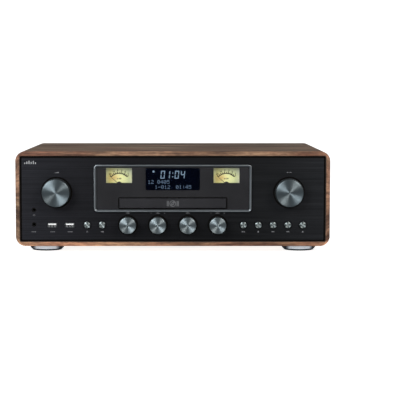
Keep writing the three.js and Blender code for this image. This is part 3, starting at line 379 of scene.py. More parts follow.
def chromed_cup():
    """Bright plated metal with painted reflections: painted dark towards its two sides and painted dark
    towards its foot.
    """
    s = Surface("chromed_cup", (0.85, 0.87, 0.9), 0.24, 0.15)
    parts = s.split(s.vector_math("SUBTRACT", s.coords("Generated"), (0.5, 0.5, 0))[0])
    turn_lines = s.noise(s.place((30, 30, 1500)), detail=3)
    aside = s.math("ABSOLUTE", parts["X"])
    # Painted reflection: bright in the middle, dark towards the cup's two sides.
    painted_side_reflection = s.ramp(aside, (0.0, (0.8, 0.84, 0.88)), (0.28, (0.75, 0.79, 0.84)),
                    (0.34, (0.25, 0.27, 0.3)), (0.39, (0.012, 0.015, 0.022)))
    # Painted shade: dark low on the cup, bright from about a quarter of its height up.
    low = s.ramp(parts["Z"], (0.02, (0.02, 0.03, 0.045)), (0.12, (0.06, 0.08, 0.1)),
                 (0.26, (0.95, 0.97, 1)))
    plated = s.mix(1.0, painted_side_reflection, low, "MULTIPLY")
    s.feed("Base Color", s.mix(0.2, plated, s.ramp(turn_lines, (0.3, (0.7, 0.7, 0.7)), (0.7, (1, 1, 1))),
                               "MULTIPLY"))
    s.feed("Roughness", s.span(turn_lines, 0.2, 0.32))
    return s


def display_black():
    """The unlit glass of the display: near black with a blue cast and a faint cell grid."""
    s = Surface("display_face", (0.001, 0.002, 0.006), 0.4, Specular_IOR_Level=0.04)
    cells = s.noise(s.place((500, 500, 500)), detail=1)
    s.feed("Base Color", s.ramp(cells, (0.3, (0.0006, 0.001, 0.004)), (0.7, (0.0012, 0.0022, 0.008))))
    s.feed("Roughness", s.span(cells, 0.3, 0.4))
    return s


def clear_plastic(name, color, alpha, specular):
    """Polished clear plastic with faint smudges in its gloss."""
    roughness = 0.06
    s = Surface(name, color, roughness, Alpha=alpha, Specular_IOR_Level=specular)
    smudge = s.noise(s.place((60, 60, 60)), detail=3)
    s.feed("Roughness", s.span(smudge, roughness, roughness + 0.07))
    return s


def glowing(name, color):
    """Lit cells of the display, with a slight unevenness."""
    s = Surface(name, color, 0.5, Emission_Strength=1.0)
    cells = s.noise(s.place((700, 700, 700)), detail=1)
    shade = tuple(c * 0.85 for c in color)
    s.feed("Emission Color", s.ramp(cells, (0.3, shade), (0.7, color)))
    return s


MATERIALS = {}


def make_materials():
    m = MATERIALS
    m["walnut"] = walnut()
    m["fascia"] = black_fascia()
    m["panel"] = moulded("dark_panel", (0.0145, 0.014, 0.0158), 0.46, Specular_IOR_Level=0.22)
    m["door"] = moulded("tray_door_finish", (0.019, 0.0185, 0.021), 0.44, Specular_IOR_Level=0.25)
    m["bezel"] = brushed("bezel_metal", (0.42, 0.45, 0.47), 0.34, 0, contrast=0.08)
    m["spun_large"] = spun_metal("spun_aluminium", (0.235, 0.28, 0.298), (0.375, 0.44, 0.465), 0.46, 0.9)
    m["spun"] = spun_metal("spun_aluminium_pale", (0.36, 0.42, 0.44), (0.53, 0.60, 0.62), 0.46, 0.9)
    m["spun_edge"] = spun_metal("turned_edge", (0.05, 0.056, 0.06), (0.08, 0.09, 0.094), 0.5, 0.3)
    m["spun_small"] = spun_metal("button_metal", (0.43, 0.49, 0.48), (0.63, 0.69, 0.68), 0.42, 0.94)
    m["chrome"] = chromed_cup()
    m["steel"] = brushed("plated_steel", (0.55, 0.56, 0.57), 0.34, 1)
    m["port"] = brushed("port_shell", (0.62, 0.63, 0.64), 0.26, 0, contrast=0.06)
    m["tin"] = moulded("tinned_spring", (0.13, 0.13, 0.135), 0.4)
    m["gold"] = brushed("contact_gold", (0.83, 0.62, 0.28), 0.25, 1)
    m["black_steel"] = moulded("black_steel", (0.022, 0.022, 0.024), 0.55, grain=900)
    m["black"] = moulded("black_plastic", (0.018, 0.018, 0.02), 0.5)
    m["white"] = moulded("white_plastic", (0.80, 0.80, 0.785), 0.45)
    m["red"] = moulded("red_plastic", (0.45, 0.02, 0.02), 0.4)
    m["rubber"] = moulded("rubber", (0.014, 0.014, 0.015), 0.8)
    m["shadow_gap"] = moulded("shadow_gap", (0.0035, 0.003, 0.0025), 0.8, Specular_IOR_Level=0.05)
    m["print"] = moulded("panel_print", (0.17, 0.17, 0.18), 0.6)
    m["bright_print"] = moulded("emblem_print", (0.38, 0.385, 0.39), 0.5)
    m["faint_print"] = moulded("faint_print", (0.105, 0.105, 0.11), 0.5)
    m["ink"] = moulded("dial_ink", (0.02, 0.016, 0.005), 0.7)
    m["dial"] = meter_dial()
    m["display"] = display_black()
    m["window"] = clear_plastic("smoked_window", (0.001, 0.002, 0.006), 0.3, specular=0.03)
    m["lens"] = clear_plastic("meter_lens", (0.12, 0.12, 0.1), 0.06, specular=0.25)
    m["digits"] = glowing("display_segments", (0.27, 0.39, 0.52))
    m["dim_digits"] = glowing("display_dots", (0.17, 0.25, 0.37))
    m["board"] = moulded("solder_mask", (0.03, 0.12, 0.06), 0.4)
    m["heatsink"] = brushed("heatsink", (0.6, 0.61, 0.62), 0.4, 2)
    m["core"] = moulded("transformer_core", (0.12, 0.09, 0.06), 0.45)


CAD_FINISH = {
    "steel": ["chassis_plate", "clamper_bridge", "guide_rail_left", "guide_rail_right",
              "spindle_motor", "loader_motor", "aerial_socket"],
    "black_steel": ["back_panel"],
    "fascia": ["front_fascia"],
    "panel": ["center_plate"],
    "black": ["front_carrier", "cd_tray", "loader_frame", "clamp_puck", "traverse_frame",
              "laser_pickup", "headphone_socket", "aux_socket", "line_sockets",
              "speaker_sockets", "mains_inlet", "meter_case_left", "meter_case_right"],
    "white": ["tray_drive_gear", "motor_pulley", "turntable_hub"],
    "window": ["display_window"],
    "display": ["display_module"],
    "lens": ["meter_lens_left", "meter_lens_right"],
    "ink": ["needle_left", "needle_right"],
    "board": ["control_board", "main_board", "power_board"],
    "heatsink": ["amplifier_heatsink"],
    "core": ["power_transformer"],
    "rubber": ["drive_belt"],
}
SOFT_EDGES = ["front_fascia", "center_plate", "cd_tray", "back_panel", "mains_inlet", "display_window",
              "meter_lens_left", "meter_lens_right"]


def dress_cad_nodes():
    for finish, names in CAD_FINISH.items():
        for name in names:
            data = nodes[name].data
            data.materials.clear()
            data.materials.append(MATERIALS[finish].material)
    for name in SOFT_EDGES:
        bevel = nodes[name].modifiers.new("edge", "BEVEL")
        bevel.width = 0.25 * MM
        bevel.segments = 2
        bevel.limit_method = "ANGLE"
        bevel.angle_limit = math.radians(50)


# ---- Mesh helpers ----

SHARP = math.radians(32)


def add_piece(name, bm, material, body, replaces=()):
    """Turns a bmesh into a named piece that rides on a body."""
    bmesh.ops.remove_doubles(bm, verts=bm.verts, dist=1e-7)
    bmesh.ops.recalc_face_normals(bm, faces=bm.faces)
    for face in bm.faces:
        face.smooth = True
    for edge in bm.edges:
        if len(edge.link_faces) == 2 and edge.calc_face_angle(0) > SHARP:
            edge.smooth = False
    mesh = bpy.data.meshes.new(name)
    bm.to_mesh(mesh)
    bm.free()
    mesh.materials.append(MATERIALS[material].material)
    piece = bpy.data.objects.new(name, mesh)
    scene.collection.objects.link(piece)
    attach(piece, body)
    if replaces:
        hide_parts(*replaces)


def circle(bm, centre, radius, height, axis, sides):
    """Vertices round a turning axis, or the one vertex on it."""
    ring = []
    for i in range(sides if radius else 1):
        a = 2 * math.pi * i / sides
        u, v = radius * math.cos(a), radius * math.sin(a)
        offset = Vector((u, height, v)) if axis == "Y" else Vector((u, v, height))
        ring.append(bm.verts.new(centre + offset))
    return ring


def turn(bm, profile, centre, sides, axis="Y"):
    """Adds a turned solid from (radius, height) points that start and end on the axis, or else close
    on themselves as a ring's do."""
    rings = [circle(bm, centre, radius, height, axis, sides) for radius, height in profile]
    if profile[0][0]:
        rings.append(rings[0])
    for near, far in zip(rings, rings[1:]):
        for i in range(sides):
            j = (i + 1) % sides
            corners = [near[i % len(near)], near[j % len(near)], far[j % len(far)], far[i % len(far)]]
            unique = list(dict.fromkeys(corners))
            if len(unique) > 2:
                bm.faces.new(unique)


def turned_piece(name, profile, centre, material, body, replaces=(), axis="Y", sides=96):
    bm = bmesh.new()
    turn(bm, profile, centre, sides, axis)
    add_piece(name, bm, material, body, replaces)


def arc(u, v, radius, start, end, steps):
    """Points on an arc, with angles in degrees."""
    out = []
    for i in range(steps + 1):
        a = math.radians(start + (end - start) * i / steps)
        out.append((u + radius * math.cos(a), v + radius * math.sin(a)))
    return out


def rounded(u0, u1, v0, v1, radius, steps):
    """The outline of a rectangle with round corners."""
    return (arc(u1 - radius, v1 - radius, radius, 0, 90, steps)
            + arc(u0 + radius, v1 - radius, radius, 90, 180, steps)
            + arc(u0 + radius, v0 + radius, radius, 180, 270, steps)
            + arc(u1 - radius, v0 + radius, radius, 270, 360, steps))


def plate(bm, outline, y0, y1):
    """Adds a solid with an outline in X and Z, from y0 back to y1."""
    front = [bm.verts.new((x, y0, z)) for x, z in outline]
    back = [bm.verts.new((x, y1, z)) for x, z in outline]
    bm.faces.new(front)
    bm.faces.new(back[::-1])
    for i in range(len(outline)):
        j = (i + 1) % len(outline)
        bm.faces.new((front[i], back[i], back[j], front[j]))


def loft(bm, sections, closed=True):
    """Joins outlines in X and Z, given as (outline, y) with as many points each; an open loft gets caps."""
    rings = [[bm.verts.new((x, y, z)) for x, z in outline] for outline, y in sections]
    following = rings[1:] + rings[:1] if closed else rings[1:]
    for near, far in zip(rings, following):
        for i in range(len(near)):
            j = (i + 1) % len(near)
            bm.faces.new((near[i], near[j], far[j], far[i]))
    if not closed:
        bm.faces.new(rings[0][::-1])
        bm.faces.new(rings[-1])


def grown(low, high, grow, radius, steps=4):
    """The outline of a box's front, grown by a margin (or shrunk by a negative one)."""
    return rounded(low.x - grow, high.x + grow, low.z - grow, high.z + grow, radius, steps)


def slab(bm, low, high, edge, corner):
    """Adds a block with round corners and an eased front edge."""
    low, high = Vector(low), Vector(high)
    loft(bm, [(grown(low, high, -inset, corner), y)
              for inset, y in ((edge, low.y), (0, low.y + edge), (0, high.y))], closed=False)


def edging(name, outer, inner, front, back, material):
    """A flat frame on the housing, between two outlines."""
    bm = bmesh.new()
    loft(bm, [(outer, front), (inner, front), (inner, back), (outer, back)])
    add_piece(name, bm, material, "housing")


def block(bm, low, high):
    """Adds a square-edged solid between two corners."""
    low, high = Vector(low), Vector(high)
    made = bmesh.ops.create_cube(bm, size=1)
    size = high - low
    for vert in made["verts"]:
        vert.co = Vector((vert.co.x * size.x, vert.co.y * size.y, vert.co.z * size.z)) + (low + high) / 2


# ---- Cabinet ----

WALL_SIDE = 6.3 * MM
WALL_TOP = 7 * MM
WALL_BOTTOM = 6.6 * MM
CORNER = 13.5 * MM
INNER_CORNER = 1.5 * MM
EDGE = 0.7 * MM


def dense_loop(x0, x1, z0, z1, radius):
    """A rounded rectangle with points along its straight runs too, in fixed numbers."""
    along_x, along_z, turn_steps = 18, 10, 12
    corners = [(x1 - radius, z1 - radius, 0), (x0 + radius, z1 - radius, 90),
               (x0 + radius, z0 + radius, 180), (x1 - radius, z0 + radius, 270)]
    straight = [along_x, along_z, along_x, along_z]
    points = []
    for k, (u, v, start) in enumerate(corners):
        bend = arc(u, v, radius, start, start + 90, turn_steps)
        points += bend
        nu, nv, nstart = corners[(k + 1) % 4]
        nxt = arc(nu, nv, radius, nstart, nstart + 1, 1)[0]
        for i in range(1, straight[k]):
            f = i / straight[k]
            points.append((bend[-1][0] * (1 - f) + nxt[0] * f, bend[-1][1] * (1 - f) + nxt[1] * f))
    return points


def cabinet_wrap():
    low, high = SLEEVE_LOW, SLEEVE_HIGH
    outer = dense_loop(low.x, high.x, low.z, high.z, CORNER)
    inner = dense_loop(low.x + WALL_SIDE, high.x - WALL_SIDE, low.z + WALL_BOTTOM,
                       high.z - WALL_TOP, INNER_CORNER)
    turns = [math.pi / 2 * i / 4 for i in range(5)]
    round_over = [(EDGE - EDGE * math.cos(a), EDGE - EDGE * math.sin(a)) for a in turns]
    # One cut through the wall: how far into it from its near (outer) or far (inner) face, and y
    section = ([(into, low.y + y, "near") for into, y in round_over]
               + [(into, low.y + y, "far") for into, y in reversed(round_over)]
               + [(into, high.y - y, "far") for into, y in round_over]
               + [(into, high.y - y, "near") for into, y in reversed(round_over)])
    bm = bmesh.new()
    across = bm.verts.layers.float_vector.new("grain_across")
    deep = bm.verts.layers.float_vector.new("grain_deep")
    side_mix = bm.verts.layers.float.new("side")
    # from_inside feeds the painted shadow on the wall's inner lip.
    from_inside = bm.verts.layers.float.new("from_inside")
    lengths = [0.0]
    for a, b in zip(outer, outer[1:]):
        lengths.append(lengths[-1] + math.dist(a, b))
    rings = []
    for (ox, oz), (ix, iz), s in zip(outer, inner, lengths):
        wall = math.dist((ox, oz), (ix, iz))
        rise = min(oz - low.z, high.z - oz) / CORNER
        on_side = min(1.0, max(0.0, 2 * rise - 0.5)) if abs(ox) > high.x - CORNER else 0.0
        ring = []
        for into, y, side in section:
            f = into / wall if side == "near" else 1 - into / wall
            vert = bm.verts.new((ox + (ix - ox) * f, y, oz + (iz - oz) * f))
            vert[across] = (s, y, f * wall)
            vert[deep] = (y, s, 0.12 * f * wall)
            vert[side_mix] = on_side
            vert[from_inside] = (1 - f) * wall
            ring.append(vert)
        rings.append(ring)
    count = len(section)
    for near, far in zip(rings, rings[1:] + rings[:1]):
        for i in range(count):
            j = (i + 1) % count
            bm.faces.new((near[i], near[j], far[j], far[i]))
    add_piece("cabinet_wrap", bm, "walnut", "housing", ["cabinet_sleeve"])


def foot_pieces():
    """Plated cups that taper below an upright band, each on a rubber pad."""
    band, taper, pad = 0.33, 2.6 * MM, 1.3 * MM
    for end in ("front", "back"):
        for side in SIDES:
            node = f"foot_{end}_{side}"
            low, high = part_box(node)
            centre = Vector(((low.x + high.x) / 2, (low.y + high.y) / 2, 0))
            radius = (high.x - low.x) / 2
            base, top = low.z, high.z
            height = top - base
            wall = [(radius, top), (radius, top - band * height)]
            wall += [(radius - taper * f * f, top - height * (band + 0.5 * f)) for f in (0.3, 0.6, 0.8, 1)]
            cup = [(0, top), (radius - 0.3 * MM, top), *wall, (0, wall[-1][1])]
            turned_piece(f"{node}_cup", cup, centre, "chrome", "housing", [node], "Z")
            rim = radius - taper - 0.1 * MM
            ring = [(0, base + pad), (rim, base + pad), (rim - 0.6 * MM, base + 0.3 * MM),
                    (rim - 1.2 * MM, base), (rim - 6 * MM, base), (rim - 6.5 * MM, base + 0.4 * MM),
                    (0, base + 0.4 * MM)]
            turned_piece(f"{node}_pad", ring, centre, "rubber", "housing", axis="Z")


# ---- Fascia trim ----

def bezel():
    low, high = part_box("bezel_frame")
    bar, corner, step = 3 * MM, 4.5 * MM, 0.5 * MM
    sections = [
        (0, corner, high.y), (0, corner, low.y + step), (step * 0.3, corner, low.y + step * 0.3),
        (step, corner - step, low.y), (bar * 0.42, corner - bar * 0.42, low.y),
        (bar * 0.5, corner - bar * 0.5, low.y + 0.12 * MM), (bar, 1.6 * MM, low.y + 1.7 * MM),
        (bar, 1.6 * MM, high.y)]
    bm = bmesh.new()
    loft(bm, [(grown(low, high, -inset, radius, 8), y) for inset, radius, y in sections])
    add_piece("bezel", bm, "bezel", "housing", ["bezel_frame"])


def door_face():
    bm = bmesh.new()
    slab(bm, *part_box("tray_door"), 0.45 * MM, 1 * MM)
    add_piece("door_face", bm, "door", "tray", ["tray_door"])


def door_shadow_band():
    """A near-black band on the panel round the tray opening: a painted shadow of the gap round the door."""
    low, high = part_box("tray_door")
    gap, width = 0.6 * MM, 0.95 * MM
    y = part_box("center_plate")[0].y
    edging("door_shadow_band", grown(low, high, gap + width, 2.2 * MM), grown(low, high, gap, 1.8 * MM),
           y - 0.08 * MM, y + 0.05 * MM, "shadow_gap")


def disc_mark():
    """A plain disc symbol in the middle of the tray door: an outer ring, a label ring and a track arc."""
    c = axis_of("tray_door") - Vector((0, 0, 0.5 * MM))
    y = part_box("tray_door")[0].y
    bm = bmesh.new()
    front, back = y - 0.06 * MM, y + 0.02 * MM
    for outside, inside in ((4.4 * MM, 3.5 * MM), (1.8 * MM, 0.9 * MM)):
        turn(bm, [(outside, front), (outside, back), (inside, back), (inside, front)], c, 48)
    for start in (20, 200):
        outer = arc(c.x, c.z, 3.2 * MM, start, start + 60, 10)
        inner = arc(c.x, c.z, 2.2 * MM, start + 60, start, 10)
        plate(bm, outer + inner, front, back)
    half_bar, half_height = 0.5 * MM, 3.7 * MM
    for offset in (5.9, 7.6):
        for sign in (-1, 1):
            x = c.x + sign * offset * MM
            sides = (x - half_bar, x + half_bar)
            plate(bm, rounded(*sides, c.z - half_height, c.z + half_height, 0.3 * MM, 3), front, back)
    add_piece("disc_mark", bm, "faint_print", "tray")


# ---- Display ----

DOTS = {
    "0": "01110 10001 10011 10101 11001 10001 01110",
    "1": "00100 01100 00100 00100 00100 00100 01110",
    "2": "01110 10001 00001 00110 01000 10000 11111",
    "4": "00010 00110 01010 10010 11111 00010 00010",
    "5": "11111 10000 11110 00001 00001 10001 01110",
    ":": "00000 00100 00100 00000 00100 00100 00000",
    "-": "00000 00000 00000 11111 00000 00000 00000",
    " ": "00000 00000 00000 00000 00000 00000 00000",
}
SEGMENTS = {"0": "abcdef", "1": "bc", "4": "bcfg"}
DOT_PITCH = 0.72 * MM
CELL_DEPTH = 0.1 * MM


def dot_text(bm, text, x, z, y):
    """A line of five by seven dot characters, its lower left corner at (x, z)."""
    dot = DOT_PITCH * 0.84
    for k, letter in enumerate(text):
        for row, cells in enumerate(DOTS[letter].split()):
            for column, lit in enumerate(cells):
                if lit == "1":
                    u = x + (k * 6 + column) * DOT_PITCH
                    v = z + (6 - row) * DOT_PITCH
                    block(bm, (u, y, v), (u + dot, y + CELL_DEPTH, v + dot))


def segment_digit(bm, digit, x, z, width, height, y):
    """A slanted seven-segment digit, its lower left corner at (x, z)."""
    bar = 1.2 * MM
    lean = 0.1
    half = height / 2
    bars = {
        "a": (0, height, width, height, (0, -1)), "g": (0, half, width, half, (0, -0.5)),
        "d": (0, 0, width, 0, (0, 1)), "f": (0, half, 0, height, (1, 0)), "e": (0, 0, 0, half, (1, 0)),
        "b": (width, half, width, height, (-1, 0)), "c": (width, 0, width, half, (-1, 0)),
    }
    gap = 0.2 * MM
    for key in SEGMENTS[digit]:
        u0, v0, u1, v1, (nu, nv) = bars[key]
        along = Vector((u1 - u0, v1 - v0)).normalized()
        into = Vector((nu, nv)).normalized()
        start = Vector((u0, v0)) + along * gap
        end = Vector((u1, v1)) - along * gap
        if key == "g":
            start -= into * bar / 2
            end -= into * bar / 2
        corner = along * bar * 0.55
        outline = [start, end, end + into * bar - corner, start + into * bar + corner]
        plate(bm, [(x + p.x + p.y * lean, z + p.y) for p in outline], y, y + CELL_DEPTH)


def display_readout():
    """A clock in slanted digits with a status dot, over two lines of small numbers."""
    low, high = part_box("display_window")
    y = high.y + 0.12 * MM
    bm = bmesh.new()
    centre = (low.x + high.x) / 2
    base = high.z - 14.6 * MM
    width, height = 5.6 * MM, 10.8 * MM
    for digit, offset in (("0", -17.0), ("1", -9.9), ("0", 2.3), ("4", 10.4)):
        segment_digit(bm, digit, centre + offset * MM, base, width, height, y)
    spots = [(centre - 0.1 * MM, base + rise * MM, 0.8 * MM) for rise in (2.7, 7.6)]
    spots.append((centre - 26.3 * MM, high.z - 4.9 * MM, 1.5 * MM))
    for x, z, radius in spots:
        plate(bm, arc(x, z, radius, 0, 345, 15), y, y + CELL_DEPTH)
    add_piece("display_readout", bm, "digits", "housing")
    bm = bmesh.new()
    for text, offset, drop in (("12 0405", -34, 21.6), ("1-012", -24.5, 28.6), ("01:45", 4.4, 28.6)):
        dot_text(bm, text, centre + offset * MM, high.z - drop * MM, y)
    add_piece("display_lines", bm, "dim_digits", "housing")


# ---- Meters ----

PIVOT_RISE = -2.0 * MM           # the needle's pivot below the window's lower edge
SCALE_RADIUS = 14.3 * MM
SCALE_SWING = 46


def polar(centre, radius, degrees):
    a = math.radians(degrees)
    return centre.x + radius * math.sin(a), centre.z + radius * math.cos(a)


def spoke(centre, degrees, r0, r1, width):
    """The outline of a straight mark from radius r0 to r1."""
    a = math.radians(degrees)
    side = Vector((math.cos(a), -math.sin(a))) * width / 2
    inner = Vector(polar(centre, r0, degrees))
    outer = Vector(polar(centre, r1, degrees))
    return [tuple(inner - side), tuple(inner + side), tuple(outer + side), tuple(outer - side)]


def sector(centre, r0, r1, start, end):
    """The outline of a stretch of a ring."""
    steps = 14
    inner = [polar(centre, r0, start + (end - start) * i / steps) for i in range(steps + 1)]
    outer = [polar(centre, r1, end - (end - start) * i / steps) for i in range(steps + 1)]
    return inner + outer


def small_text(bm, body, x, z, size, y, weight):
    """Adds a short centred number in the built-in font as a thin solid."""
    depth = 0.06 * MM
    curve = bpy.data.curves.new("number", "FONT")
    curve.body = body
    curve.size = size
    curve.align_x = "CENTER"
    curve.resolution_u = 3
    curve.extrude = depth / 2
    curve.offset = weight
    holder = bpy.data.objects.new("number", curve)
    scene.collection.objects.link(holder)
    bpy.context.view_layer.update()
    mesh = bpy.data.meshes.new_from_object(holder)
    mesh.transform(Matrix.Translation((x, y, z)) @ Matrix.Rotation(math.pi / 2, 4, "X"))
    bm.from_mesh(mesh)
    bpy.data.objects.remove(holder)
    bpy.data.curves.remove(curve)
    bpy.data.meshes.remove(mesh)


def meter(side):
    """A level meter's dial, scale, pivot cover and window surround."""
    window_low, window_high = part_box(f"meter_lens_{side}")
    case_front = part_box(f"meter_case_{side}")[0].y
    x = (window_low.x + window_high.x) / 2
    pivot = Vector((x, 0, window_low.z - 0.3 * MM + PIVOT_RISE))
    face_y = case_front + 5.6 * MM
    bm = bmesh.new()
    half = 18.1 * MM
    plate(bm, rounded(x - half, x + half, pivot.z + 0.4 * MM, window_high.z + 0.3 * MM, 0.4 * MM, 2),
          face_y, face_y + 0.35 * MM)
    add_piece(f"dial_{side}", bm, "dial", "housing")

    ink = bmesh.new()
    y0, y1 = face_y - 0.05 * MM, face_y + 0.02 * MM
    plate(ink, sector(pivot, SCALE_RADIUS, SCALE_RADIUS + 1.2 * MM, -SCALE_SWING, 18), y0, y1)
    plate(ink, sector(pivot, SCALE_RADIUS - 0.2 * MM, SCALE_RADIUS + 1.4 * MM, 20, SCALE_SWING), y0, y1)
    marks = 11
    for i in range(marks):
        degrees = -SCALE_SWING + 2 * SCALE_SWING * i / (marks - 1)
        tip = SCALE_RADIUS + (3.3 if i % 2 == 0 else 2.5) * MM
        plate(ink, spoke(pivot, degrees, SCALE_RADIUS + 0.5 * MM, tip, 1.15 * MM), y0, y1)
    for value, degrees in (("20", -44), ("10", -25), ("5", -7), ("3", 11), ("0", 27), ("3", 43)):
        u, v = polar(pivot, SCALE_RADIUS + 3.7 * MM, degrees)
        small_text(ink, value, u, v, 3.4 * MM, face_y - 0.02 * MM, 0.09 * MM)
    small_text(ink, "0-100", x, pivot.z + 7 * MM, 2.5 * MM, face_y - 0.02 * MM, 0.1 * MM)
    add_piece(f"dial_marks_{side}", ink, "ink", "housing")

    cover = bmesh.new()
    hump = arc(x, pivot.z, 3.9 * MM, 0, 180, 16)
    plate(cover, hump, window_high.y + 0.4 * MM, face_y - 2.2 * MM)
    add_piece(f"pivot_cover_{side}", cover, "black", "housing")

    edging(f"meter_surround_{side}", grown(window_low, window_high, 0.25 * MM, 0.3 * MM, 2),
           grown(window_low, window_high, -0.15 * MM, 0.3 * MM, 2),
           window_low.y - 0.12 * MM, window_low.y - 0.02 * MM, "black")


def display_mask():
    """A printed edge that rounds the corners of the display window."""
    low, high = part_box("display_window")
    edging("display_mask", grown(low, high, -0.02 * MM, 0.25 * MM), grown(low, high, -0.2 * MM, 2.2 * MM),
           low.y - 0.07 * MM, low.y + 0.02 * MM, "panel")


# ---- Knobs and buttons ----

def knob(node):
    """A turned knob: a spun face with a fine dished centre, set in a chamfered cup with a hollow back."""
    low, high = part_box(node)
    centre = axis_of(node)
    radius = (high.x - low.x) / 2
    face = low.y
    rear = FACE_Y - 0.8 * MM
    chamfer = radius * 0.055
    boss = radius * 0.42
    shaft = 2.6 * MM
    disc_edge = radius - chamfer
    disc = [(0, face + 0.12 * MM), (0.5 * MM, face + 0.1 * MM), (1.2 * MM, face + 0.02 * MM)]
    disc += [(radius * f, face) for f in (0.3, 0.55, 0.8)]
    disc += [(disc_edge - 0.12 * MM, face), (disc_edge, face + 0.05 * MM),
             (disc_edge, face + 0.5 * MM), (0, face + 0.5 * MM)]
    finish = "spun" if node in SMALL_KNOBS else "spun_large"
    turned_piece(f"{node}_face", disc, centre, finish, node, [node])
    cup = [(0, face + 0.5 * MM), (disc_edge, face + 0.5 * MM), (disc_edge + 0.02 * MM, face + 0.1 * MM),
           (radius - 0.08 * MM, face + chamfer), (radius, face + chamfer + 0.12 * MM),
           (radius, rear - 0.3 * MM), (radius - 0.3 * MM, rear), (radius - 1.9 * MM, rear),
           (radius - 1.9 * MM, face + 3 * MM), (boss, face + 3 * MM), (boss, rear - 1.6 * MM),
           (shaft, rear - 1.6 * MM), (shaft, high.y), (0, high.y)]
    turned_piece(f"{node}_cup", cup, centre, "spun_edge", node)
    # A near-black ring on the fascia round the knob: a painted shadow, with no part behind it.
    hole, front, back = shaft + 3 * MM, FACE_Y - 0.2 * MM, FACE_Y + 0.02 * MM
    shadow_ring = [(radius + 1.7 * MM, front), (radius + 2.1 * MM, back), (hole, back), (hole, front)]
    turned_piece(f"{node}_washer", shadow_ring, centre, "shadow_gap", "housing", sides=64)


def button(node):
    """A turned button: a spun face let into a darker chamfered cap with a flange behind the fascia."""
    low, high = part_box(node)
    centre = axis_of(node)
    flange = (high.x - low.x) / 2
    radius, disc_edge, face = 4.75 * MM, 4.3 * MM, low.y
    stem = 2.2 * MM
    behind = FACE_Y + 2.6 * MM
    disc = [(0, face + 0.08 * MM), (0.6 * MM, face + 0.05 * MM), (1.4 * MM, face), (disc_edge * 0.6, face),
            (disc_edge - 0.1 * MM, face), (disc_edge, face + 0.05 * MM), (disc_edge, face + 0.3 * MM),
            (0, face + 0.3 * MM)]
    turned_piece(f"{node}_face", disc, centre, "spun_small", node, [node], sides=64)
    cap = [(0, face + 0.3 * MM), (disc_edge, face + 0.3 * MM), (disc_edge + 0.02 * MM, face + 0.06 * MM),
           (radius - 0.05 * MM, face + 0.45 * MM), (radius, face + 0.55 * MM), (radius, behind),
           (flange, behind), (flange, behind + 1.2 * MM), (stem, behind + 1.2 * MM), (stem, high.y),
           (0, high.y)]
    turned_piece(f"{node}_cap", cap, centre, "spun_edge", node, sides=64)


# ---- Front sockets ----

def usb_port(side):
    node = f"usb_port_{side}"
    low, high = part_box(node)
    c = middle(node)
    bm = bmesh.new()
    wall = 0.45 * MM
    outer = grown(low, high, 0, 0.9 * MM)
    inner = grown(low, high, -wall, 0.5 * MM)
    depth = 14 * MM
    loft(bm, [(outer, high.y), (outer, low.y), (inner, low.y), (inner, low.y + depth)], closed=False)
    add_piece(f"{node}_shell", bm, "port", "housing", [node])
    tongue = bmesh.new()
    slab(tongue, (c.x - 5.5 * MM, low.y + 0.7 * MM, c.z + 0.1 * MM),
         (c.x + 5.5 * MM, low.y + depth - 0.3 * MM, c.z + 2.1 * MM), 0.3 * MM, 0.35 * MM)
    add_piece(f"{node}_tongue", tongue, "white", "housing")
    springs = bmesh.new()
    for offset in (-3.9, 0, 3.9):
        block(springs, (c.x + offset * MM - 1.2 * MM, low.y + 0.3 * MM, low.z + 0.5 * MM),
              (c.x + offset * MM + 1.2 * MM, low.y + 9 * MM, c.z - 0.5 * MM))
    add_piece(f"{node}_springs", springs, "tin", "housing")
    contacts = bmesh.new()
    for offset in (-3.5, -1, 1, 3.5):
        block(contacts, (c.x + offset * MM - 0.5 * MM, low.y + 2.4 * MM, c.z + 0.05 * MM),
              (c.x + offset * MM + 0.5 * MM, low.y + 10 * MM, c.z + 0.22 * MM))
    add_piece(f"{node}_contacts", contacts, "gold", "housing")


def jack_ring(node):
    """A thin near-black ring round a jack socket: painted shade round the socket's mouth."""
    front, back = FACE_Y - 0.06 * MM, FACE_Y + 0.02 * MM
    ring = [(2.9 * MM, front), (3.0 * MM, back), (1.9 * MM, back), (1.9 * MM, front)]
    turned_piece(f"{node}_ring", ring, axis_of(node), "shadow_gap", "housing", sides=40)


def fascia_shadow_band():
    """A near-black band that fills the gap between the fascia and the cabinet and laps over the fascia: a
    painted shadow along the fascia's edge.
    """
    low, high = FASCIA_LOW, FASCIA_HIGH
    gap = low.x - (SLEEVE_LOW.x + WALL_SIDE)
    front, lap, back = FACE_Y - 0.07 * MM, FACE_Y - 0.01 * MM, FACE_Y + 1.5 * MM
    outer = grown(low, high, gap - 0.05 * MM, INNER_CORNER)
    inner = grown(low, high, -0.8 * MM, 1 * MM)
    beside = grown(low, high, 0.05 * MM, 1.2 * MM)
    bm = bmesh.new()
    loft(bm, [(outer, front), (inner, front), (inner, lap), (beside, lap), (beside, back), (outer, back)])
    add_piece("fascia_shadow_band", bm, "shadow_gap", "housing")


# ---- Marks on the fascia ----

MARK_FRONT = FACE_Y - 0.05 * MM
MARK_BACK = FACE_Y + 0.02 * MM


def mark(bm, outline):
    plate(bm, outline, MARK_FRONT, MARK_BACK)


def bar_mark(bm, x, z, width, height):
    mark(bm, rounded(x - width / 2, x + width / 2, z - height / 2, z + height / 2,
                     min(width, height) * 0.3, 2))


def triangle_mark(bm, x, z, size, pointing=1):
    mark(bm, [(x - pointing * size / 2, z - size / 2), (x + pointing * size / 2, z),
              (x - pointing * size / 2, z + size / 2)])


def power_mark(bm, x, z):
    r = 1.0 * MM
    mark(bm, arc(x, z, r, 125, 415, 16) + arc(x, z, r - 0.3 * MM, 415, 125, 16))
    bar_mark(bm, x, z + 0.7 * MM, 0.3 * MM, 1.2 * MM)


